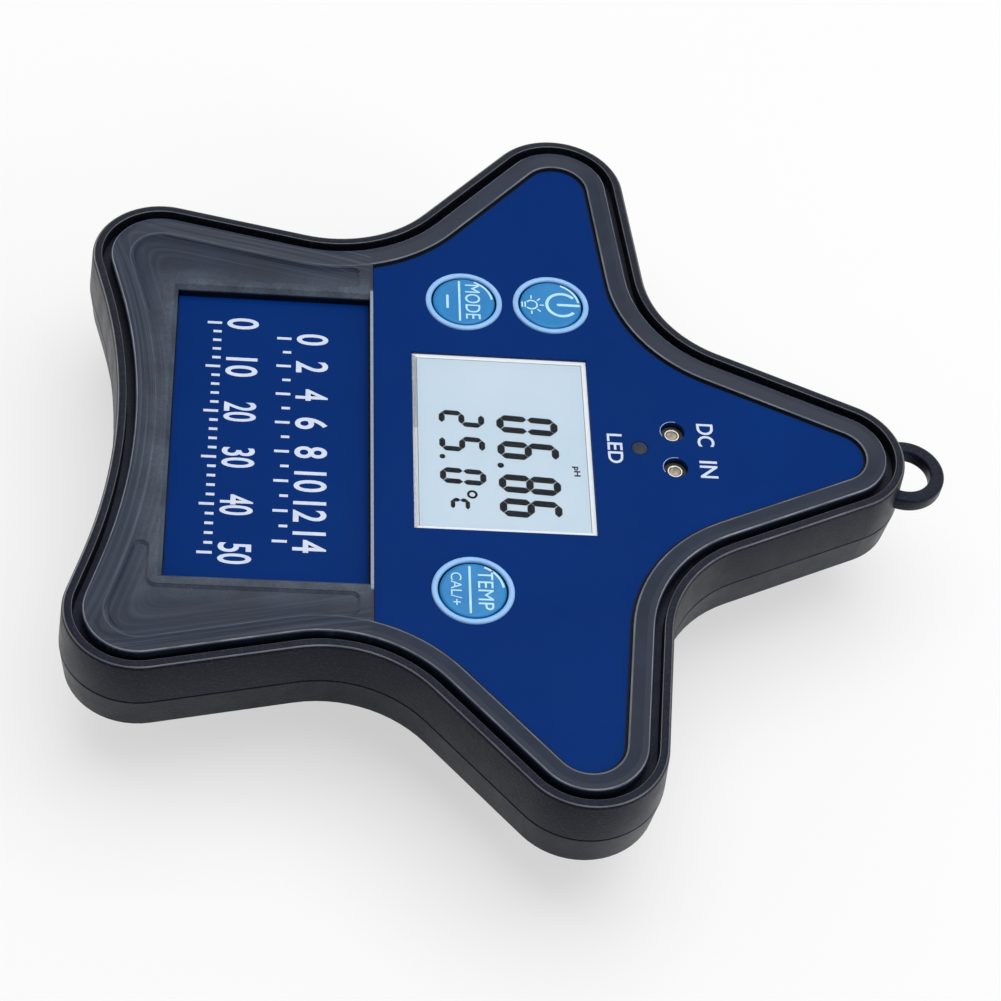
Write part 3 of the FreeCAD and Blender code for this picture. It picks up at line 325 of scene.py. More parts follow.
def smokyCover(name):
    # tinted plastic with drawn lines along its outline and a paler haze round the recess, painted
    # highlights on its edges and rib, and painted shade on its deep walls
    made, tree, shader, place = newFinish(name)
    spot = addNode(tree, "ShaderNodeSeparateXYZ",
                   {0: shade(tree, "VectorMath", {0: place, 1: (1 / mm,) * 3},
                             operation="MULTIPLY")}).outputs
    side = calc(tree, "ABSOLUTE", spot["X"], 0.0)
    clouds = noise(tree, place, *smoke["cloud"])
    tint = ramp(tree, clouds, [(0.3, smoke["dark"]), (0.7, smoke["light"])])

    # how far in from the foot edge and the two lower sides
    (_, valleyY, valleyR), (tipX, tipY, tipR) = star["footValley"], star["footTip"]
    above = calc(tree, "SUBTRACT", spot["Y"], valleyY)
    reach = calc(tree, "SQRT", calc(tree, "ADD", times(tree, side, side),
                                    times(tree, above, above)), 0.0)
    footIn = calc(tree, "SUBTRACT", reach, valleyR)
    lean = math.radians(smoke["sideLean"])
    sideIn = calc(tree, "MULTIPLY_ADD", side, -math.cos(lean),
                  tipR + tipX * math.cos(lean) + tipY * math.sin(lean))
    sideIn = calc(tree, "MULTIPLY_ADD", spot["Y"], -math.sin(lean), sideIn)
    inset = calc(tree, "SMOOTH_MIN", footIn, sideIn, smoke["merge"])
    along = calc(tree, "ADD", spot["X"], spot["Y"])
    flow = shade(tree, "CombineXYZ", {"X": calc(tree, "DIVIDE", inset, smoke["streak"]),
                                      "Y": calc(tree, "DIVIDE", along, smoke["streakLength"])})
    lines = shade(tree, "TexNoise", {"Vector": flow, "Scale": 1.0, "Detail": 3.0,
                                     "Roughness": 0.6})
    border = smoke["border"]
    lower = fadeOut(tree, spot["Y"], border - 1.0, border)
    drawn = times(tree, lower, between(tree, inset, *smoke["drawnInset"]),
                  fadeIn(tree, lines, *smoke["drawnSpan"]))
    tint = mixTint(tree, drawn, tint, smoke["drawn"])

    # haze round the recess, then a painted highlight: a pale strip along the rib at the face
    # panel's border
    wide, tall, middle = smoke["recess"]
    offX = calc(tree, "SUBTRACT", side, wide)
    offY = calc(tree, "ABSOLUTE", calc(tree, "SUBTRACT", spot["Y"], middle), 0.0)
    away = calc(tree, "MAXIMUM", offX, calc(tree, "SUBTRACT", offY, tall))
    flecks = noise(tree, place, *smoke["fleck"])
    haze = times(tree, fadeOut(tree, away, *smoke["hazeReach"]),
                 between(tree, flecks, smoke["mottle"], 1.0),
                 between(tree, clouds, smoke["mottle"], 1.0, 0.35, 0.65), lower)
    tint = mixTint(tree, haze, tint, smoke["haze"])
    ribHighlight = times(tree, window(tree, spot["Y"], *[border + past for past in smoke["ribY"]]),
                fadeOut(tree, side, *[wide + past for past in smoke["ribEnd"]]),
                fadeIn(tree, spot["Z"], *smoke["ribZ"]),
                between(tree, flecks, smoke["ribMottle"], 1.0))
    tint = mixTint(tree, ribHighlight, tint, smoke["ribHighlight"])

    # painted highlight lines on the outer chamfer and at the slope's foot, and painted shade on
    # the deep walls
    facing = addNode(tree, "ShaderNodeNewGeometry").outputs["True Normal"]
    tilt = addNode(tree, "ShaderNodeSeparateXYZ", {0: facing}).outputs["Z"]
    crest = times(tree, window(tree, tilt, *smoke["crestTilt"]),
                  fadeIn(tree, spot["Z"], *smoke["crestZ"]))
    foot = times(tree, window(tree, tilt, *smoke["footTilt"]),
                 window(tree, spot["Z"], *smoke["footZ"]),
                 between(tree, lower, *smoke["footShare"], 0.0, 1.0))
    crest = times(tree, calc(tree, "MAXIMUM", crest, foot),
                  between(tree, noise(tree, place, smoke["crestPatch"]), smoke["mottle"], 1.0))
    tint = mixTint(tree, crest, tint, smoke["crest"])
    # painted shade: surfaces below the face's level turn near black
    tint = mixTint(tree, fadeOut(tree, spot["Z"], *smoke["paintedShadeZ"]), tint, smoke["paintedShade"])
    tree.links.new(tint, shader.inputs["Base Color"])

    tree.links.new(between(tree, clouds, *smoke["rough"]), shader.inputs["Roughness"])
    soft = bump(tree, shader, lines, *smoke["streakBump"])
    bump(tree, shader, flecks, *smoke["fleckBump"], soft)
    shader.inputs["Specular IOR Level"].default_value = smoke["gloss"]
    return made


film = {"low": (0.50, 0.65, 0.77), "high": (0.57, 0.69, 0.81), "span": (0.25, 0.75),
        "wash": 22.0, "smear": 5.0, "rough": (0.28, 0.38), "grain": 0.25, "bump": (0.004, 0.2)}


def displayFilm(name):
    # lit liquid crystal: a pale sheet with a slow wash of a second tint
    made, tree, shader, place = newFinish(name)
    (start, end), wash = film["span"], noise(tree, place, film["wash"], 2.0)
    tree.links.new(ramp(tree, wash, [(start, film["low"]), (end, film["high"])]),
                   shader.inputs["Base Color"])
    tree.links.new(between(tree, noise(tree, place, film["smear"]), *film["rough"]),
                   shader.inputs["Roughness"])
    bump(tree, shader, noise(tree, place, film["grain"]), *film["bump"])
    return made


def clearSheet(name, colour, alpha, rough, smear=6.0, cloud=15.0, dim=0.9):
    made, tree, shader, place = newFinish(name)
    tree.links.new(between(tree, noise(tree, place, smear), *rough), shader.inputs["Roughness"])
    haze = noise(tree, place, cloud, 2.0)
    tree.links.new(ramp(tree, haze, [(0.3, colour), (0.7, [part * dim for part in colour])]),
                   shader.inputs["Base Color"])
    shader.inputs["Alpha"].default_value = alpha
    return made


ceramic = {"pore": 0.35, "dark": (0.42, 0.40, 0.36), "pale": (0.80, 0.78, 0.72),
           "span": (0.05, 0.45), "bump": (0.08, 0.8), "rough": 0.8}


def porous(name):
    made, tree, shader, place = newFinish(name)
    pores = addNode(tree, "ShaderNodeTexVoronoi",
                    {"Vector": place, "Scale": 1 / (ceramic["pore"] * mm)}).outputs["Distance"]
    start, end = ceramic["span"]
    tree.links.new(ramp(tree, pores, [(start, ceramic["dark"]), (end, ceramic["pale"])]),
                   shader.inputs["Base Color"])
    bump(tree, shader, pores, *ceramic["bump"])
    shader.inputs["Roughness"].default_value = ceramic["rough"]
    return made


finishes = {
    "housing_black": moulded("satinBlack", (0.0026, 0.0032, 0.0062), (0.0050, 0.0058, 0.0098),
                             (0.30, 0.44), grain=0.34, depth=0.06, strength=0.9,
                             fleck=(0.016, 0.018, 0.026), glossTint=(0.12, 0.15, 0.25)),
    "cover_smoke": smokyCover("smokyCover"),
    "panel_blue": moulded("blueFilm", (0.0003, 0.0225, 0.142), (0.0004, 0.0255, 0.160),
                          (0.34, 0.44), grain=0.5, depth=0.006, strength=0.2, patch=30.0,
                          gloss=0.03),
    "window_clear": clearSheet("clearWindow", (0.05, 0.07, 0.09), 0.035, (0.08, 0.16)),
    "display_grey": displayFilm("displayFilm"),
    "white_plastic": moulded("paleFrame", (0.84, 0.90, 0.95), (0.90, 0.94, 0.97), (0.35, 0.5)),
    "key_blue": moulded("keyBlue", (0.003, 0.165, 0.44), (0.006, 0.205, 0.50), (0.30, 0.42),
                        grain=0.6, depth=0.012, strength=0.3, patch=5.0, coat=0.1, gloss=0.25),
    "ring_pale": moulded("keyRing", (0.21, 0.44, 0.78), (0.28, 0.51, 0.84), (0.24, 0.36),
                         grain=0.7, depth=0.01, strength=0.2, patch=4.0, coat=0.2, gloss=0.3),
    "contact_metal": moulded("nickel", (0.42, 0.39, 0.34), (0.62, 0.60, 0.56), (0.26, 0.42),
                             grain=0.12, depth=0.012, strength=0.5, patch=1.2, metal=0.9),
    "seal_rubber": moulded("sealRubber", (0.008, 0.008, 0.009), (0.014, 0.014, 0.015),
                           (0.55, 0.7), grain=0.25, depth=0.03, strength=0.5, patch=4.0),
    "board_green": moulded("solderMask", (0.004, 0.10, 0.03), (0.010, 0.16, 0.05), (0.3, 0.4)),
    "chip_black": moulded("chipBlack", (0.012, 0.012, 0.012), (0.02, 0.02, 0.02), (0.5, 0.6)),
    "screw_steel": moulded("stainless", (0.40, 0.40, 0.41), (0.56, 0.56, 0.57), (0.24, 0.38),
                           grain=0.15, depth=0.01, strength=0.4, patch=2.0, metal=1.0),
    "cell_silver": moulded("foilPouch", (0.45, 0.46, 0.48), (0.60, 0.61, 0.63), (0.3, 0.5),
                           grain=1.5, depth=0.1, strength=0.4, patch=10.0, metal=0.8),
    "lamp_lens": moulded("lampLens", (0.014, 0.018, 0.034), (0.028, 0.034, 0.056), (0.3, 0.4),
                         grain=0.5, depth=0.01, strength=0.2, patch=1.5, gloss=0.15),
    "probe_black": moulded("probeBlack", (0.013, 0.013, 0.015), (0.020, 0.020, 0.022),
                           (0.42, 0.56), grain=0.28, depth=0.03, strength=0.5),
    "bulb_glass": clearSheet("bulbGlass", (0.86, 0.93, 0.90), 0.35, (0.03, 0.08)),
    "junction_white": porous("porousJunction"),
}
for row in frame["record"]["subparts"]:
    data = frame["nodes"][row["node"]].data
    data.materials.clear()
    data.materials.append(finishes[row["material_slot"]])
print("finishes: done")


def starLine(inset):
    # points along the star's outline, moved inward
    left = [(star[name], tip) for name, tip in (("upperValley", -1), ("sideTip", 1),
                                                ("lowerValley", -1), ("footTip", 1))]
    ring = [(star["topTip"], 1)]
    ring += [((-x, y, r), tip) for (x, y, r), tip in left]
    ring += [(star["footValley"], -1)]
    ring += [((x, y, r), tip) for (x, y, r), tip in reversed(left)]
    circles = [(Vector((x, y)), r - tip * inset, tip) for (x, y, r), tip in ring]
    touches = []
    for index, (centre, radius, tip) in enumerate(circles):
        other, otherRadius, _ = circles[(index + 1) % len(circles)]
        run = other - centre
        lean = math.acos((radius + otherRadius) / run.length)
        toward = math.atan2(run.y, run.x) - tip * lean
        out = Vector((math.cos(toward), math.sin(toward)))
        touches.append((centre + out * radius, other - out * otherRadius))
    line = []
    for index, (centre, radius, tip) in enumerate(circles):
        start, end = touches[index - 1][1] - centre, touches[index][0] - centre
        first = math.atan2(start.y, start.x)
        swing = (math.atan2(end.y, end.x) - first) * tip % (2 * math.pi) * tip
        steps = max(2, round(abs(math.degrees(swing)) / star["arcStep"]))
        if radius > star["flatRadius"]:
            steps *= star["flatSteps"]
        for step in range(steps + 1):
            angle = first + swing * step / steps
            line.append((centre.x + radius * math.cos(angle), centre.y + radius * math.sin(angle)))
    return line


def pathMesh(name, line, closed=False):
    count = len(line)
    return newMesh(name, [(x, y, 0.0) for x, y in line],
                   edges=[(index, (index + 1) % count) for index in range(count - (not closed))])


def buildSweep():
    tree, given = newTree("Section along a path", Section="Object", Steps="Int")
    path = geo(tree, "MeshToCurve", {"Mesh": given["Geometry"]})
    level = geo(tree, "SetCurveNormal", {"Curve": path}, mode="Z_UP")
    shape = addNode(tree, "GeometryNodeObjectInfo", {"Object": given["Section"]})
    radius = geo(tree, "InputRadius")
    soft = geo(tree, "FilletCurve",
               {"Curve": shape.outputs["Geometry"], "Count": given["Steps"],
                "Radius": radius, "Limit Radius": True}, mode="POLY")
    even = geo(tree, "SetCurveRadius", {"Curve": soft, "Radius": 1.0})
    swept = geo(tree, "CurveToMesh", {"Curve": level, "Profile Curve": even, "Fill Caps": True})
    return endTree(tree, given, swept)


sweepTree = buildSweep()


def sweep(name, path, corners, material, steps):
    # corners are (outward, up, corner radius); the radius rides in the curve's own radius
    curve = bpy.data.curves.new(name, "CURVE")
    curve.dimensions = "3D"
    spline = curve.splines.new("POLY")
    spline.points.add(len(corners) - 1)
    for point, (out, up, rounding) in zip(spline.points, corners):
        point.co = (out * mm, -up * mm, 0.0, 1.0)  # a level path's second axis points down
        point.radius = rounding * mm
    spline.use_cyclic_u = True
    shape = newPiece(name + "Section", curve)
    piece = growPiece(name, path, sweepTree, Section=shape, Steps=steps, Material=material)
    bpy.data.objects.remove(shape)
    return piece


# upper shell: outer wall with its draft, rounded rim, groove and the cover's seat

shell = {
    "inset": 0.03, "wall": 2.4, "draft": 0.604, "partingChamfer": 0.25, "rimRound": 0.8,
    "crestRound": 0.35, "rimInner": 2.5, "seatInner": 7.2, "edge": 0.05, "partingRound": 0.12,
    "wallRound": 0.3, "crest": (34.3, 0.62, 0.96),  # lowest height, steepest and flattest tilt
}
upperShell = sweep("upper_shell", pathMesh("outline", starLine(shell["inset"]), True), [
    (-shell["partingChamfer"], levels["parting"], shell["edge"]),
    (0.0, levels["parting"] + shell["partingChamfer"], shell["partingRound"]),
    (-shell["draft"], levels["rim"], shell["rimRound"]),
    (-shell["rimInner"], levels["rim"], shell["crestRound"]),
    (-shell["rimInner"], levels["seat"], shell["edge"]),
    (-shell["seatInner"], levels["seat"], shell["edge"]),
    (-shell["seatInner"], levels["ledge"], shell["edge"]),
    (-shell["wall"], levels["ledge"], shell["wallRound"]),
    (-shell["wall"], levels["parting"], shell["edge"]),
], finishes["housing_black"], steps=4)
finishPiece(upperShell, "housing", ["upper_housing"])
# the rim's rounded crest faces get a glossier finish and a paler colour; the paler colour is a
# painted highlight
upperShell.data.materials.append(
    moulded("rimCrestHighlight", (0.020, 0.021, 0.025), (0.080, 0.083, 0.094), (0.22, 0.40), grain=0.3,
            depth=0.01, strength=0.3, patch=7.0, gloss=0.6))
lowest, steepest, flattest = shell["crest"]
for face in upperShell.data.polygons:
    if face.center.z > lowest * mm and steepest < face.normal.z < flattest:
        face.material_index = 1
print("upper shell: done")


# hanging loop at the top tip

loop = {"y": 76.1, "radius": 6.3, "wide": 2.8, "low": 27.7, "high": 30.8, "round": 0.55,
        "start": -42.0, "steps": 72}
loopLine = []
for step in range(loop["steps"] + 1):
    angle = math.radians(loop["start"] + (180 - 2 * loop["start"]) * step / loop["steps"])
    loopLine.append((loop["radius"] * math.cos(angle),
                     loop["y"] + loop["radius"] * math.sin(angle)))
half = loop["wide"] / 2
hangLoop = sweep("hang_loop", pathMesh("loopLine", loopLine), [
    (-half, loop["low"], loop["round"]), (half, loop["low"], loop["round"]),
    (half, loop["high"], loop["round"]), (-half, loop["high"], loop["round"]),
], finishes["housing_black"], steps=4)
finishPiece(hangLoop, "housing", angle=50)
print("hanging loop: done")


# key rings, one rounded ring grown at each key, and the caps inside them

def buildRings():
    tree, given = newTree("Rounded rings", Radius="Float", Width="Float", Height="Float",
                          Edge="Float", Resolution="Int")
    circle = geo(tree, "CurvePrimitiveCircle",
                 {"Resolution": given["Resolution"], "Radius": given["Radius"]})
    level = geo(tree, "SetCurveNormal", {"Curve": circle}, mode="Z_UP")
    shape = geo(tree, "CurvePrimitiveQuadrilateral",
                {"Width": given["Width"], "Height": given["Height"]})
    soft = geo(tree, "FilletCurve", {"Curve": shape, "Count": 4, "Radius": given["Edge"],
                                     "Limit Radius": True}, mode="POLY")
    swept = geo(tree, "CurveToMesh", {"Curve": level, "Profile Curve": soft})
    spots = geo(tree, "InstanceOnPoints", {"Points": given["Geometry"], "Instance": swept})
    return endTree(tree, given, spots)


keys = {
    "spots": {"power": (-36.3, 7.7), "mode": (-36.0, -9.7), "temp": (36.0, -9.7)},
    "ringOut": 7.65, "ringWidth": 1.15, "ringTop": 34.15, "ringEdge": 0.42,
    "capRadius": 6.2, "capUnder": 32.6, "stemRadius": 2.2, "stemFoot": 31.0,
    "capEdge": [(0.0, 33.5), (0.04, 33.72), (0.16, 33.86), (0.34, 33.95), (0.6, 33.99),
                (1.0, 33.98), (1.6, 33.95), (2.6, 33.93)],
}
low, high = levels["panelSeat"], keys["ringTop"]
seed = newMesh("keySpots", [(x, y, (low + high) / 2) for x, y in keys["spots"].values()])
keyRings = growPiece("key_ring_set", seed, buildRings(), Width=keys["ringWidth"] * mm,
                     Radius=(keys["ringOut"] - keys["ringWidth"] / 2) * mm,
                     Height=(high - low) * mm, Edge=keys["ringEdge"] * mm,
                     Resolution=roundSteps["key"], Material=finishes["ring_pale"])
finishPiece(keyRings, "housing", ["key_rings"])
reach, under, foot = keys["capRadius"], keys["capUnder"], keys["stemFoot"]
for name, (x, y) in keys["spots"].items():
    cap = lathe(name + "_cap", [
        (0.0, foot), (keys["stemRadius"], foot), (keys["stemRadius"], under), (reach, under),
        *[(reach - inset, z) for inset, z in keys["capEdge"]], (0.0, keys["capEdge"][-1][1]),
    ], finishes["key_blue"], x, y, roundSteps["key"])
    finishPiece(newPiece(name + "_cap", cap), name + "_button", [name + "_key"])
print("keys: done")


# words, numbers and marks

lettering = {"thick": 0.04, "lift": 0.5, "curveSteps": 5}


def printed(name, words, material, cap, width, spot, z, thick=lettering["thick"], bold=0.0):
    # cap is the height of the capitals; spot is the middle of the word
    curve = bpy.data.curves.new(name, "FONT")
    curve.body = words
    curve.size = cap * mm
    curve.extrude = lettering["lift"]
    curve.offset = bold * cap * mm
    curve.resolution_u = lettering["curveSteps"]
    piece = newPiece(name, curve)
    mesh = evaluatedMesh(piece)
    bpy.data.objects.remove(piece)
    xs = [vertex.co.x for vertex in mesh.vertices]
    ys = [vertex.co.y for vertex in mesh.vertices]
    wide = width * mm / (max(xs) - min(xs))
    tall = cap * mm / (max(ys) - min(ys))
    for vertex in mesh.vertices:
        vertex.co = Vector((spot[0] * mm + (vertex.co.x - (max(xs) + min(xs)) / 2) * wide,
                            spot[1] * mm + (vertex.co.y - (max(ys) + min(ys)) / 2) * tall,
                            z * mm + thick * mm * (vertex.co.z > 0)))
    mesh.materials.clear()
    mesh.materials.append(material)
    return mesh


def bar(name, start, end, thick, material, low, high, steps=5):
    # a round-ended stroke standing a little proud
    start, end = Vector(start), Vector(end)
    along = (end - start).normalized()
    side = Vector((-along.y, along.x)) * thick / 2
    outline = []
    for centre, first in ((start, 1), (end, -1)):
        for step in range(steps + 1):
            turn = math.pi * step / steps
            outline.append(centre + side * first * math.cos(turn)
                           - along * first * thick / 2 * math.sin(turn))
    count = len(outline)
    faces = [tuple(reversed(range(count))), tuple(range(count, 2 * count))]
    faces += [(index, (index + 1) % count, count + (index + 1) % count, count + index)
              for index in range(count)]
    mesh = newMesh(name, [(x, y, z) for z in (low, high) for x, y in outline], faces)
    mesh.materials.append(material)
    return mesh


def arcBand(name, centre, radius, thick, first, last, material, low, high, steps=40):
    # a curved stroke of even width; the first and last angle are in degrees
    reaches = ((radius + thick / 2, low), (radius + thick / 2, high),
               (radius - thick / 2, high), (radius - thick / 2, low))
    corners, faces = [], []
    for step in range(steps + 1):
        angle = math.radians(first + (last - first) * step / steps)
        for reach, z in reaches:
            corners.append((centre[0] + reach * math.cos(angle),
                            centre[1] + reach * math.sin(angle), z))
    for step in range(steps):
        here, there = 4 * step, 4 * step + 4
        faces += [(here + side, there + side, there + (side + 1) % 4, here + (side + 1) % 4)
                  for side in range(4)]
    faces += [(0, 1, 2, 3), (4 * steps + 3, 4 * steps + 2, 4 * steps + 1, 4 * steps)]
    mesh = newMesh(name, corners, faces)
    mesh.materials.append(material)
    return mesh


inkFilm = {"grain": 0.4, "depth": 0.006, "strength": 0.2, "patch": 2.0}
inks = {
    "white": moulded("printWhite", (0.52, 0.60, 0.76), (0.64, 0.70, 0.84), (0.4, 0.5), **inkFilm),
    # cyan is the keys' print and also the painted glint on their caps' edges
    "cyan": moulded("keyPrintAndGlint", (0.36, 0.66, 0.86), (0.48, 0.78, 0.94), (0.35, 0.45), **inkFilm),
    # the well ink paints a highlight on the contact wells' edges
    "well": moulded("wellEdgeHighlight", (0.16, 0.26, 0.52), (0.30, 0.42, 0.70), (0.35, 0.45), **inkFilm),
    "black": moulded("cellBlack", (0.003, 0.004, 0.006), (0.005, 0.006, 0.009), (0.3, 0.4),
                     grain=0.4, depth=0.004, strength=0.2, patch=2.0, gloss=0.05),
}

facePrint = {
    "z": levels["panel"], "bold": 0.012, "words": [  # word, capital height, width, middle
        ("DC", 3.3, 5.7, (-3.95, 36.35)), ("IN", 3.4, 4.2, (4.65, 36.35)),
        ("LED", 2.9, 7.3, (0.45, 18.5)),
    ],
}
words = [printed("faceWord", text, inks["white"], cap, width, spot, facePrint["z"],
                 bold=facePrint["bold"])
         for text, cap, width, spot in facePrint["words"]]
joinedPiece("face_lettering", words, "housing")
print("face lettering: done")


# label in the foot recess: two number scales with ticks

def buildTicks():
    tree, given = newTree("Scale ticks", Count="Int", Spacing="Float", Every="Int",
                          Width="Float", Long="Float", Short="Float", Thickness="Float")
    offset = shade(tree, "CombineXYZ", {"X": given["Spacing"]})
    origin = geo(tree, "InputPosition")
    line = geo(tree, "MeshLine", {"Count": given["Count"], "Offset": offset})
    start = geo(tree, "SampleIndex", {"Geometry": given["Geometry"], "Value": origin},
                data_type="FLOAT_VECTOR")
    moved = geo(tree, "SetPosition", {"Geometry": line, "Offset": start})
    index = geo(tree, "InputIndex")
    beat = calc(tree, "MODULO", index, given["Every"])
    length = geo(tree, "Switch",
                 {"Switch": calc(tree, "GREATER_THAN", beat, 0.5), "False": given["Long"],
                  "True": given["Short"]}, input_type="FLOAT")
    shape = geo(tree, "CurvePrimitiveQuadrilateral", {"Width": given["Width"], "Height": 1.0})
    down = geo(tree, "Transform", {"Geometry": shape, "Translation": (0.0, -0.5, 0.0)})
    sheet = geo(tree, "FillCurve", {0: down})
    stretch = shade(tree, "CombineXYZ", {"X": 1.0, "Y": length, "Z": 1.0})
    ticks = geo(tree, "InstanceOnPoints", {"Points": moved, "Instance": sheet, "Scale": stretch})
    flat = geo(tree, "RealizeInstances", {0: ticks})
    return endTree(tree, given, thicken(tree, flat, given["Thickness"]))


label = {
    "z": levels["label"], "ink": 0.04, "bold": 0.014, "tickWidth": 0.6, "tickDrop": 1.0,
    "digit": (2.9, 4.9),  # width of a number with one and with two digits
    # name, first x, step between numbers, numbers, their height and foot, ticks to a step,
    # long and short tick
    "scales": [
        ("acid_scale", -25.2, 7.2, [str(n) for n in range(0, 15, 2)], 6.2, -42.6, 2, 2.8, 1.6),
        ("heat_scale", -28.5, 11.4, [str(n) for n in range(0, 51, 10)], 6.2, -56.2, 5, 2.8, 1.6),
    ],
}
tickTree = buildTicks()
labelMeshes = []
for name, first, step, numbers, cap, foot, parts, longTick, shortTick in label["scales"]:
    for index, number in enumerate(numbers):
        labelMeshes.append(printed("number", number, inks["white"], cap,
                                   label["digit"][len(number) - 1],
                                   (first + step * index, foot + cap / 2), label["z"],
                                   bold=label["bold"]))
    seed = newMesh(name, [(first, foot - label["tickDrop"], label["z"])])
    ticks = growPiece(name, seed, tickTree, Count=parts * (len(numbers) - 1) + 1,
                      Spacing=step / parts * mm, Width=label["tickWidth"] * mm,
                      Long=longTick * mm, Short=shortTick * mm, Thickness=label["ink"] * mm,
                      Every=parts, Material=inks["white"])
    finishPiece(ticks, "housing")
joinedPiece("scale_numbers", labelMeshes, "housing")
print("label scales: done")


# display marks: each lit segment is an edge, cut to a bar with mitred ends

def buildSegments():
    tree, given = newTree("Display segments", Thickness="Float", Height="Float", Steps="Int")
    lines = geo(tree, "MeshToCurve", {"Mesh": given["Geometry"]})
    fine = geo(tree, "ResampleCurve", {"Curve": lines, "Count": given["Steps"]})
    along = addNode(tree, "GeometryNodeSplineParameter").outputs["Length"]
    total = addNode(tree, "GeometryNodeSplineLength").outputs["Length"]
    near = calc(tree, "MINIMUM", along, calc(tree, "SUBTRACT", total, along))
    half = calc(tree, "MULTIPLY", given["Thickness"], 0.5)
    soft = calc(tree, "SMOOTH_MIN", calc(tree, "DIVIDE", near, half), 1.0, display["mitreSoft"])
    wide = calc(tree, "MAXIMUM", soft, display["mitreTip"])
    level = geo(tree, "SetCurveNormal", {"Curve": fine}, mode="Z_UP")
    left, right = (shade(tree, "CombineXYZ", {"X": side})
                   for side in (calc(tree, "MULTIPLY", half, -1.0), half))
    edge = geo(tree, "CurvePrimitiveLine", {"Start": left, "End": right})
    ribbon = geo(tree, "CurveToMesh", {"Curve": level, "Profile Curve": edge, "Scale": wide})
    return endTree(tree, given, thicken(tree, ribbon, given["Height"]))


display = {
    "z": levels["glass"], "ink": 0.05, "lean": 0.055, "mitreSoft": 0.35, "mitreTip": 0.06,
    "cuts": 33,
    "rows": [  # name, foot, height, digit width, stroke, gap, left side of each digit
        ("reading", -4.1, 11.8, 4.35, 1.40, 0.08,
         [(-7.25, "0"), (-0.75, "6"), (7.5, "8"), (13.34, "6")]),
        ("temperature", -15.2, 8.75, 3.8, 1.15, 0.08, [(-7.85, "2"), (-1.5, "5"), (6.5, "0")]),
        ("unit", -13.3, 3.6, 2.9, 0.82, 0.0, [(13.9, "C")]),
    ],
    "lit": {"0": "abcdef", "2": "abged", "5": "afgcd", "6": "afgedc", "8": "abcdefg",
            "C": "afed"},
    "dots": [(5.43, -3.6, 0.62), (3.87, -14.65, 0.55)], "turn": 359.9,
    "degree": (12.9, -9.2, 0.78, 0.45), "mark": ("pH", 1.6, 2.4, (6.1, 10.8)), "markBold": 0.02,
}
segmentTree = buildSegments()
for name, foot, height, wide, stroke, gap, digits in display["rows"]:
    corners = []
    low, high = foot + stroke / 2, foot + height - stroke / 2
    middle = (low + high) / 2
    for left, digit in digits:
        near, far = left + stroke / 2, left + wide - stroke / 2
        spans = {"a": (near, high, far, high), "b": (far, middle, far, high),
                 "c": (far, low, far, middle), "d": (near, low, far, low),
                 "e": (near, low, near, middle), "f": (near, middle, near, high),
                 "g": (near, middle, far, middle)}
        for segment in display["lit"][digit]:
            x0, y0, x1, y1 = spans[segment]
            pull = Vector((x1 - x0, y1 - y0)).normalized() * gap
            for x, y in ((x0 + pull.x, y0 + pull.y), (x1 - pull.x, y1 - pull.y)):
                corners.append((x + (y - low) * display["lean"], y, display["z"]))
    seed = newMesh(name + "Lines", corners,
                   edges=[(index, index + 1) for index in range(0, len(corners), 2)])
    marks = growPiece(name + "_digits", seed, segmentTree, Material=inks["black"],
                      Thickness=stroke * mm, Height=display["ink"] * mm,
                      Steps=display["cuts"])
    finishPiece(marks, "housing")
top = display["z"] + display["ink"]
marks = [arcBand("dot", (x, y), radius / 2, radius, 0, display["turn"], inks["black"],
                 display["z"], top, roundSteps["mark"]) for x, y, radius in display["dots"]]
x, y, radius, stroke = display["degree"]
marks.append(arcBand("degree", (x, y), radius, stroke, 0, display["turn"], inks["black"],
                     display["z"], top, roundSteps["well"]))
text, cap, width, spot = display["mark"]
marks.append(printed("mark", text, inks["black"], cap, width, spot, display["z"],
                     display["ink"], display["markBold"]))
joinedPiece("display_marks", marks, "housing")
print("display: done")


# key marks and a painted glint on each cap's edge, each on its own key

keyPrintAndGlint = {
    "z": levels["capTop"], "top": 34.03,
    # a painted glint: a pale arc on one side of each cap's edge
    "paintedGlint": (5.62, 0.42, 98.0, 158.0),  # radius, stroke, first and last angle
    # words: text, capital height, width, middle; lines: left, right, height, stroke
    "mode": {"words": [("MODE", 3.0, 9.3, (0.1, 1.75))],
             "lines": [(-5.2, 5.2, -0.9, 0.42), (-1.3, 1.9, -3.3, 0.5)]},
    "temp": {"words": [("TEMP", 2.8, 9.0, (0.0, 2.3)), ("CAL/+", 2.0, 7.4, (-0.1, -3.1))],
             "lines": [(-5.2, 5.2, -0.6, 0.42)]},
    "power": {"words": [], "lines": []},
    # the power key's arc, open at the top by so many degrees each way, and its lamp
    "arc": {"dy": 2.2, "radius": 3.0, "open": 40.0, "stem": (1.5, 5.6), "stroke": 0.62},
    "lamp": {"dx": 0.3, "dy": -3.9, "radius": 1.15, "stroke": 0.34, "first": -50.0, "last": 230.0,
             "base": (-1.25, -1.85), "baseReach": 0.6, "rays": 5, "ray": (1.75, 2.4),
             "thin": 0.3},
}
ink, low, high = inks["cyan"], keyPrintAndGlint["z"], keyPrintAndGlint["top"]


def keyMarks(name):
    x, y = keys["spots"][name]
    radius, stroke, first, last = keyPrintAndGlint["paintedGlint"]
    # the pale arc is a painted glint, in the same ink as the key print
    made = [arcBand("paintedGlint", (x, y), radius, stroke, first, last, ink, low, high,
                    roundSteps["mark"])]
    made += [printed("word", text, ink, cap, width, (x + dx, y + dy), low, high - low)
             for text, cap, width, (dx, dy) in keyPrintAndGlint[name]["words"]]
    made += [bar("line", (x + left, y + level), (x + right, y + level), thick, ink, low, high)
             for left, right, level, thick in keyPrintAndGlint[name]["lines"]]
    return made


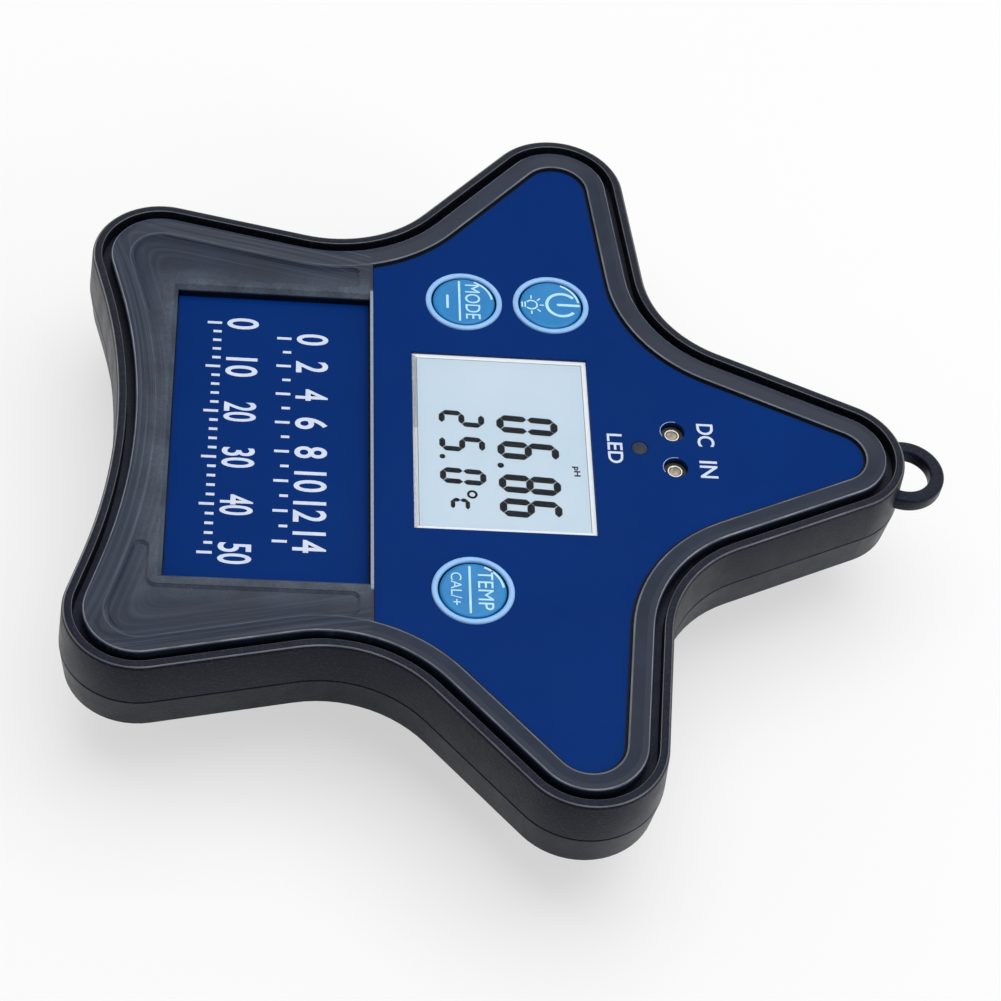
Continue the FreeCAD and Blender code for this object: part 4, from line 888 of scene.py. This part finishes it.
x, y = keys["spots"]["power"]
arc, lamp = keyPrintAndGlint["arc"], keyPrintAndGlint["lamp"]
powerMarks = [arcBand("arc", (x, y + arc["dy"]), arc["radius"], arc["stroke"], 90 + arc["open"],
                      450 - arc["open"], ink, low, high),
              bar("stem", (x, y + arc["stem"][0]), (x, y + arc["stem"][1]), arc["stroke"], ink,
                  low, high)]
spot = Vector((x + lamp["dx"], y + lamp["dy"]))
powerMarks.append(arcBand("bulb", tuple(spot), lamp["radius"], lamp["stroke"], lamp["first"],
                          lamp["last"], ink, low, high, roundSteps["mark"]))
for drop in lamp["base"]:
    ends = [spot + Vector((side * lamp["baseReach"], drop)) for side in (-1, 1)]
    powerMarks.append(bar("base", *ends, lamp["thin"], ink, low, high))
for ray in range(lamp["rays"]):
    angle = math.pi * ray / (lamp["rays"] - 1)
    ends = [spot + Vector((math.cos(angle), math.sin(angle))) * reach for reach in lamp["ray"]]
    powerMarks.append(bar("ray", *ends, lamp["thin"], ink, low, high))
for name, more in (("mode", []), ("temp", []), ("power", powerMarks)):
    joinedPiece(name + "_key_mark", keyMarks(name) + more, name + "_button")
print("key marks: done")


# charging contacts with a painted highlight on each well's edge, and the status lamp

contacts = {
    "spots": [(-4.5, 30.0), (4.5, 30.0)], "head": 1.55, "core": 1.12, "top": 32.7,
    "flange": 2.2, "flangeLow": 29.6, "flangeHigh": 30.4, "tail": 0.7, "tailFoot": 26.4,
    "edge": 0.15, "lip": 0.08, "lipDepth": 0.1, "coreDepth": 0.3,
    "dome": [(0.0, 0.06), (0.5, 0.07), (0.97, 0.12)],  # radius and depth below the top
    # the well arc, a painted highlight: radius, stroke, first and last angle, height each way
    "well": (2.46, 0.14, 165.0, 300.0, 0.02),
}
core = moulded("contactCore", (0.20, 0.17, 0.13), (0.34, 0.30, 0.24), (0.4, 0.6), grain=0.12,
               depth=0.02, strength=0.6, patch=0.8, metal=0.6)
reach, inner, top, edge = (contacts[key] for key in ("head", "core", "top", "edge"))
pins = []
for x, y in contacts["spots"]:
    pins.append(lathe("rim", [
        (inner, top - contacts["coreDepth"]), (inner, top - contacts["lipDepth"]),
        (inner + contacts["lip"], top), (reach - edge, top),
        (reach, top - edge), (reach, contacts["flangeHigh"]),
        (contacts["flange"], contacts["flangeHigh"]), (contacts["flange"], contacts["flangeLow"]),
        (contacts["tail"], contacts["flangeLow"]), (contacts["tail"], contacts["tailFoot"]),
        (0.0, contacts["tailFoot"]),
    ], finishes["contact_metal"], x, y, roundSteps["pin"]))
    pins.append(lathe("core", [*[(radius, top - depth) for radius, depth in contacts["dome"]],
                               (inner, top - contacts["coreDepth"])],
                      core, x, y, roundSteps["pin"]))
joinedPiece("contact_pins", pins, "housing", ["charge_contacts"])

# a pale arc on one side of each contact well's edge: a painted highlight
radius, stroke, first, last, proud = contacts["well"]
wellHighlights = [arcBand("wellHighlight", spot, radius, stroke, first, last, inks["well"],
                     levels["panel"] - proud, levels["panel"] + proud, roundSteps["well"])
             for spot in contacts["spots"]]
joinedPiece("well_lines", wellHighlights, "housing")

statusLamp = {"spot": (0.0, 23.3), "profile": [(0.0, 27.3), (1.55, 27.3), (1.55, 33.72),
                                               (1.42, 33.83), (1.1, 33.88), (0.6, 33.9),
                                               (0.0, 33.9)]}
lampDome = lathe("lamp_dome", statusLamp["profile"], finishes["lamp_lens"],
                 *statusLamp["spot"], roundSteps["pin"])
finishPiece(newPiece("lamp_dome", lampDome), "housing", ["led_lens"])
print("contacts and lamp: done")


# thin black line round the face panel, ending at the recess's border

edgeLine = {"inset": 8.45, "wide": 0.38, "sunk": 0.02, "proud": 0.03, "edge": 0.01,
            "border": -27.65}
line = starLine(edgeLine["inset"])
count = len(line)
start = next(index for index in range(count)
             if line[index - 1][1] < edgeLine["border"] <= line[index][1])
run = []
for index in range(start, start + count):
    if line[index % count][1] < edgeLine["border"]:
        break
    run.append(line[index % count])
ends = (line[start - 1], line[index % count])
for end, place, near in ((ends[0], 0, run[0]), (ends[1], len(run) + 1, run[-1])):
    share = (edgeLine["border"] - near[1]) / (end[1] - near[1])
    run.insert(place, (near[0] + (end[0] - near[0]) * share, edgeLine["border"]))
half, edge = edgeLine["wide"] / 2, edgeLine["edge"]
low, high = levels["panel"] - edgeLine["sunk"], levels["panel"] + edgeLine["proud"]
profile = [(-half, low, 0), (half, low, 0), (half, high, edge), (-half, high, edge)]
panelLine = sweep("panel_edge_line", pathMesh("run", run), profile, inks["black"], steps=1)
finishPiece(panelLine, "housing")
print("panel line: done")


# screws in the five tips, seen from below

screws = {
    "spots": [(0.0, 67.1), (74.739, 10.777), (-74.739, 10.777), (46.621, -74.434),
              (-46.621, -74.434)],
    "head": 3.0, "foot": 18.8, "seat": 21.0, "shank": 1.5, "end": 30.0, "socket": 1.5,
    "socketDepth": 1.3, "edge": 0.35, "turns": 12, "pitch": 0.6, "threadFrom": 1.0,
    "threadDepth": 0.28, "point": 0.5,
}


def buildScatter():
    tree, given = newTree("One at each point", Piece="Object")
    shape = addNode(tree, "GeometryNodeObjectInfo", {"Object": given["Piece"]})
    spots = geo(tree, "InstanceOnPoints",
                {"Points": given["Geometry"], "Instance": shape.outputs["Geometry"]})
    return endTree(tree, given, spots)


head, foot, seat = screws["head"], screws["foot"], screws["seat"]
shank, core = screws["shank"], screws["shank"] - screws["threadDepth"]
thread = []
for turn in range(screws["turns"]):
    z = seat + screws["threadFrom"] + turn * screws["pitch"]
    thread += [(core, z), (shank, z + screws["pitch"] / 2)]
screwMesh = lathe("screw", [
    (0.0, foot + screws["socketDepth"]), (screws["socket"], foot + screws["socketDepth"]),
    (screws["socket"], foot), (head - screws["edge"], foot), (head, foot + screws["edge"]),
    (head, seat), (shank, seat), *thread, (core, screws["end"] - screws["point"]),
    (0.0, screws["end"]),
], finishes["screw_steel"], steps=roundSteps["pin"], socket=screws["socket"])
screw = newPiece("screw", screwMesh)
seed = newMesh("screwSpots", [(x, y, 0.0) for x, y in screws["spots"]])
tipScrews = growPiece("tip_screws", seed, buildScatter(), Piece=screw,
                      Material=finishes["screw_steel"])
bpy.data.objects.remove(screw)
finishPiece(tipScrews, "housing", ["housing_screws"])
print("tip screws: done")


# floor, light and camera

studio = {
    "floor": 6000, "ground": 0.90, "room": 0.32,
    # share of plain white near and far, and the distances of both in metres
    "glow": (0.55, 1.0, 0.12, 0.7),
    "lamps": [  # name, place and aim in millimetres, width, height, watts
        ("overhead", (-100, 100, 900), (0, 0, 20), 1000, 1000, 7.3),
        ("window", (460, 640, 330), (0, 0, 20), 500, 400, 1.8),
        ("low", (-430, -640, 190), (0, 0, 25), 500, 200, 1.1),
    ],
}


def buildFloor():
    far = studio["floor"]
    floorMesh = newMesh("floor", [(-far, -far, 0), (far, -far, 0), (far, far, 0),
                                  (-far, far, 0)], [(0, 1, 2, 3)])
    floor = newPiece("floor", floorMesh)
    made = bpy.data.materials.new("paleFloor")
    made.use_nodes = True
    tree = made.node_tree
    tree.nodes.clear()
    out = addNode(tree, "ShaderNodeOutputMaterial")
    ground = shade(tree, "BsdfDiffuse", {"Color": (*[studio["ground"]] * 3, 1.0)})
    glow = shade(tree, "Emission", {"Color": (1.0, 1.0, 1.0, 1.0), "Strength": 1.0})
    seen = addNode(tree, "ShaderNodeLightPath").outputs["Is Camera Ray"]
    place = addNode(tree, "ShaderNodeTexCoord").outputs["Object"]
    away = addNode(tree, "ShaderNodeVectorMath", {0: place}, operation="LENGTH").outputs["Value"]
    share = times(tree, seen, between(tree, away, *studio["glow"]))
    mix = shade(tree, "MixShader", {0: share, 1: ground, 2: glow})
    tree.links.new(mix, out.inputs[0])
    floorMesh.materials.append(made)


def buildLight():
    world = bpy.data.worlds.new("studio")
    scene.world = world
    world.use_nodes = True
    tree = world.node_tree
    tree.nodes.clear()
    out = addNode(tree, "ShaderNodeOutputWorld")
    room, white = (shade(tree, "Background", {"Color": (1, 1, 1, 1), "Strength": power})
                   for power in (studio["room"], 1.0))
    path = addNode(tree, "ShaderNodeLightPath").outputs
    seen = calc(tree, "MAXIMUM", path["Is Camera Ray"], path["Is Transmission Ray"])
    seen = calc(tree, "MAXIMUM", seen, path["Is Glossy Ray"])
    mix = shade(tree, "MixShader", {0: seen, 1: room, 2: white})
    tree.links.new(mix, out.inputs[0])

    for name, spot, aim, width, height, power in studio["lamps"]:
        data = bpy.data.lights.new(name, "AREA")
        data.shape = "RECTANGLE"
        data.size, data.size_y, data.energy = width * mm, height * mm, power
        lamp = bpy.data.objects.new(name, data)
        scene.collection.objects.link(lamp)
        lamp.location = Vector(spot) * mm
        lamp.rotation_euler = (Vector(aim) - Vector(spot)).to_track_quat("-Z", "Y").to_euler()


view = {"azimuth": 80.345, "elevation": 50.205, "roll": 10.093, "distance": 521.58,
        "target": (0.811, -1.677, 17.0), "lens": 96.155, "sensor": 36.0, "clip": (0.01, 50.0)}


def buildCamera():
    around, lift, roll = (math.radians(view[key]) for key in ("azimuth", "elevation", "roll"))
    back = Vector((math.sin(around) * math.cos(lift), -math.cos(around) * math.cos(lift),
                   math.sin(lift)))
    right = (-back).cross(Vector((0, 0, 1))).normalized()
    up = right.cross(-back)
    side = right * math.cos(roll) + up * math.sin(roll)
    top = up * math.cos(roll) - right * math.sin(roll)
    data = bpy.data.cameras.new("camera")
    data.lens, data.sensor_width = view["lens"], view["sensor"]
    data.clip_start, data.clip_end = view["clip"]
    camera = bpy.data.objects.new("camera", data)
    scene.collection.objects.link(camera)
    turn = Matrix((side, top, back)).transposed().to_4x4()
    place = (Vector(view["target"]) + back * view["distance"]) * mm
    camera.matrix_world = Matrix.Translation(place) @ turn
    scene.camera = camera


buildFloor()
buildLight()
buildCamera()
scene.view_settings.view_transform = "Standard"
print("stage: done")
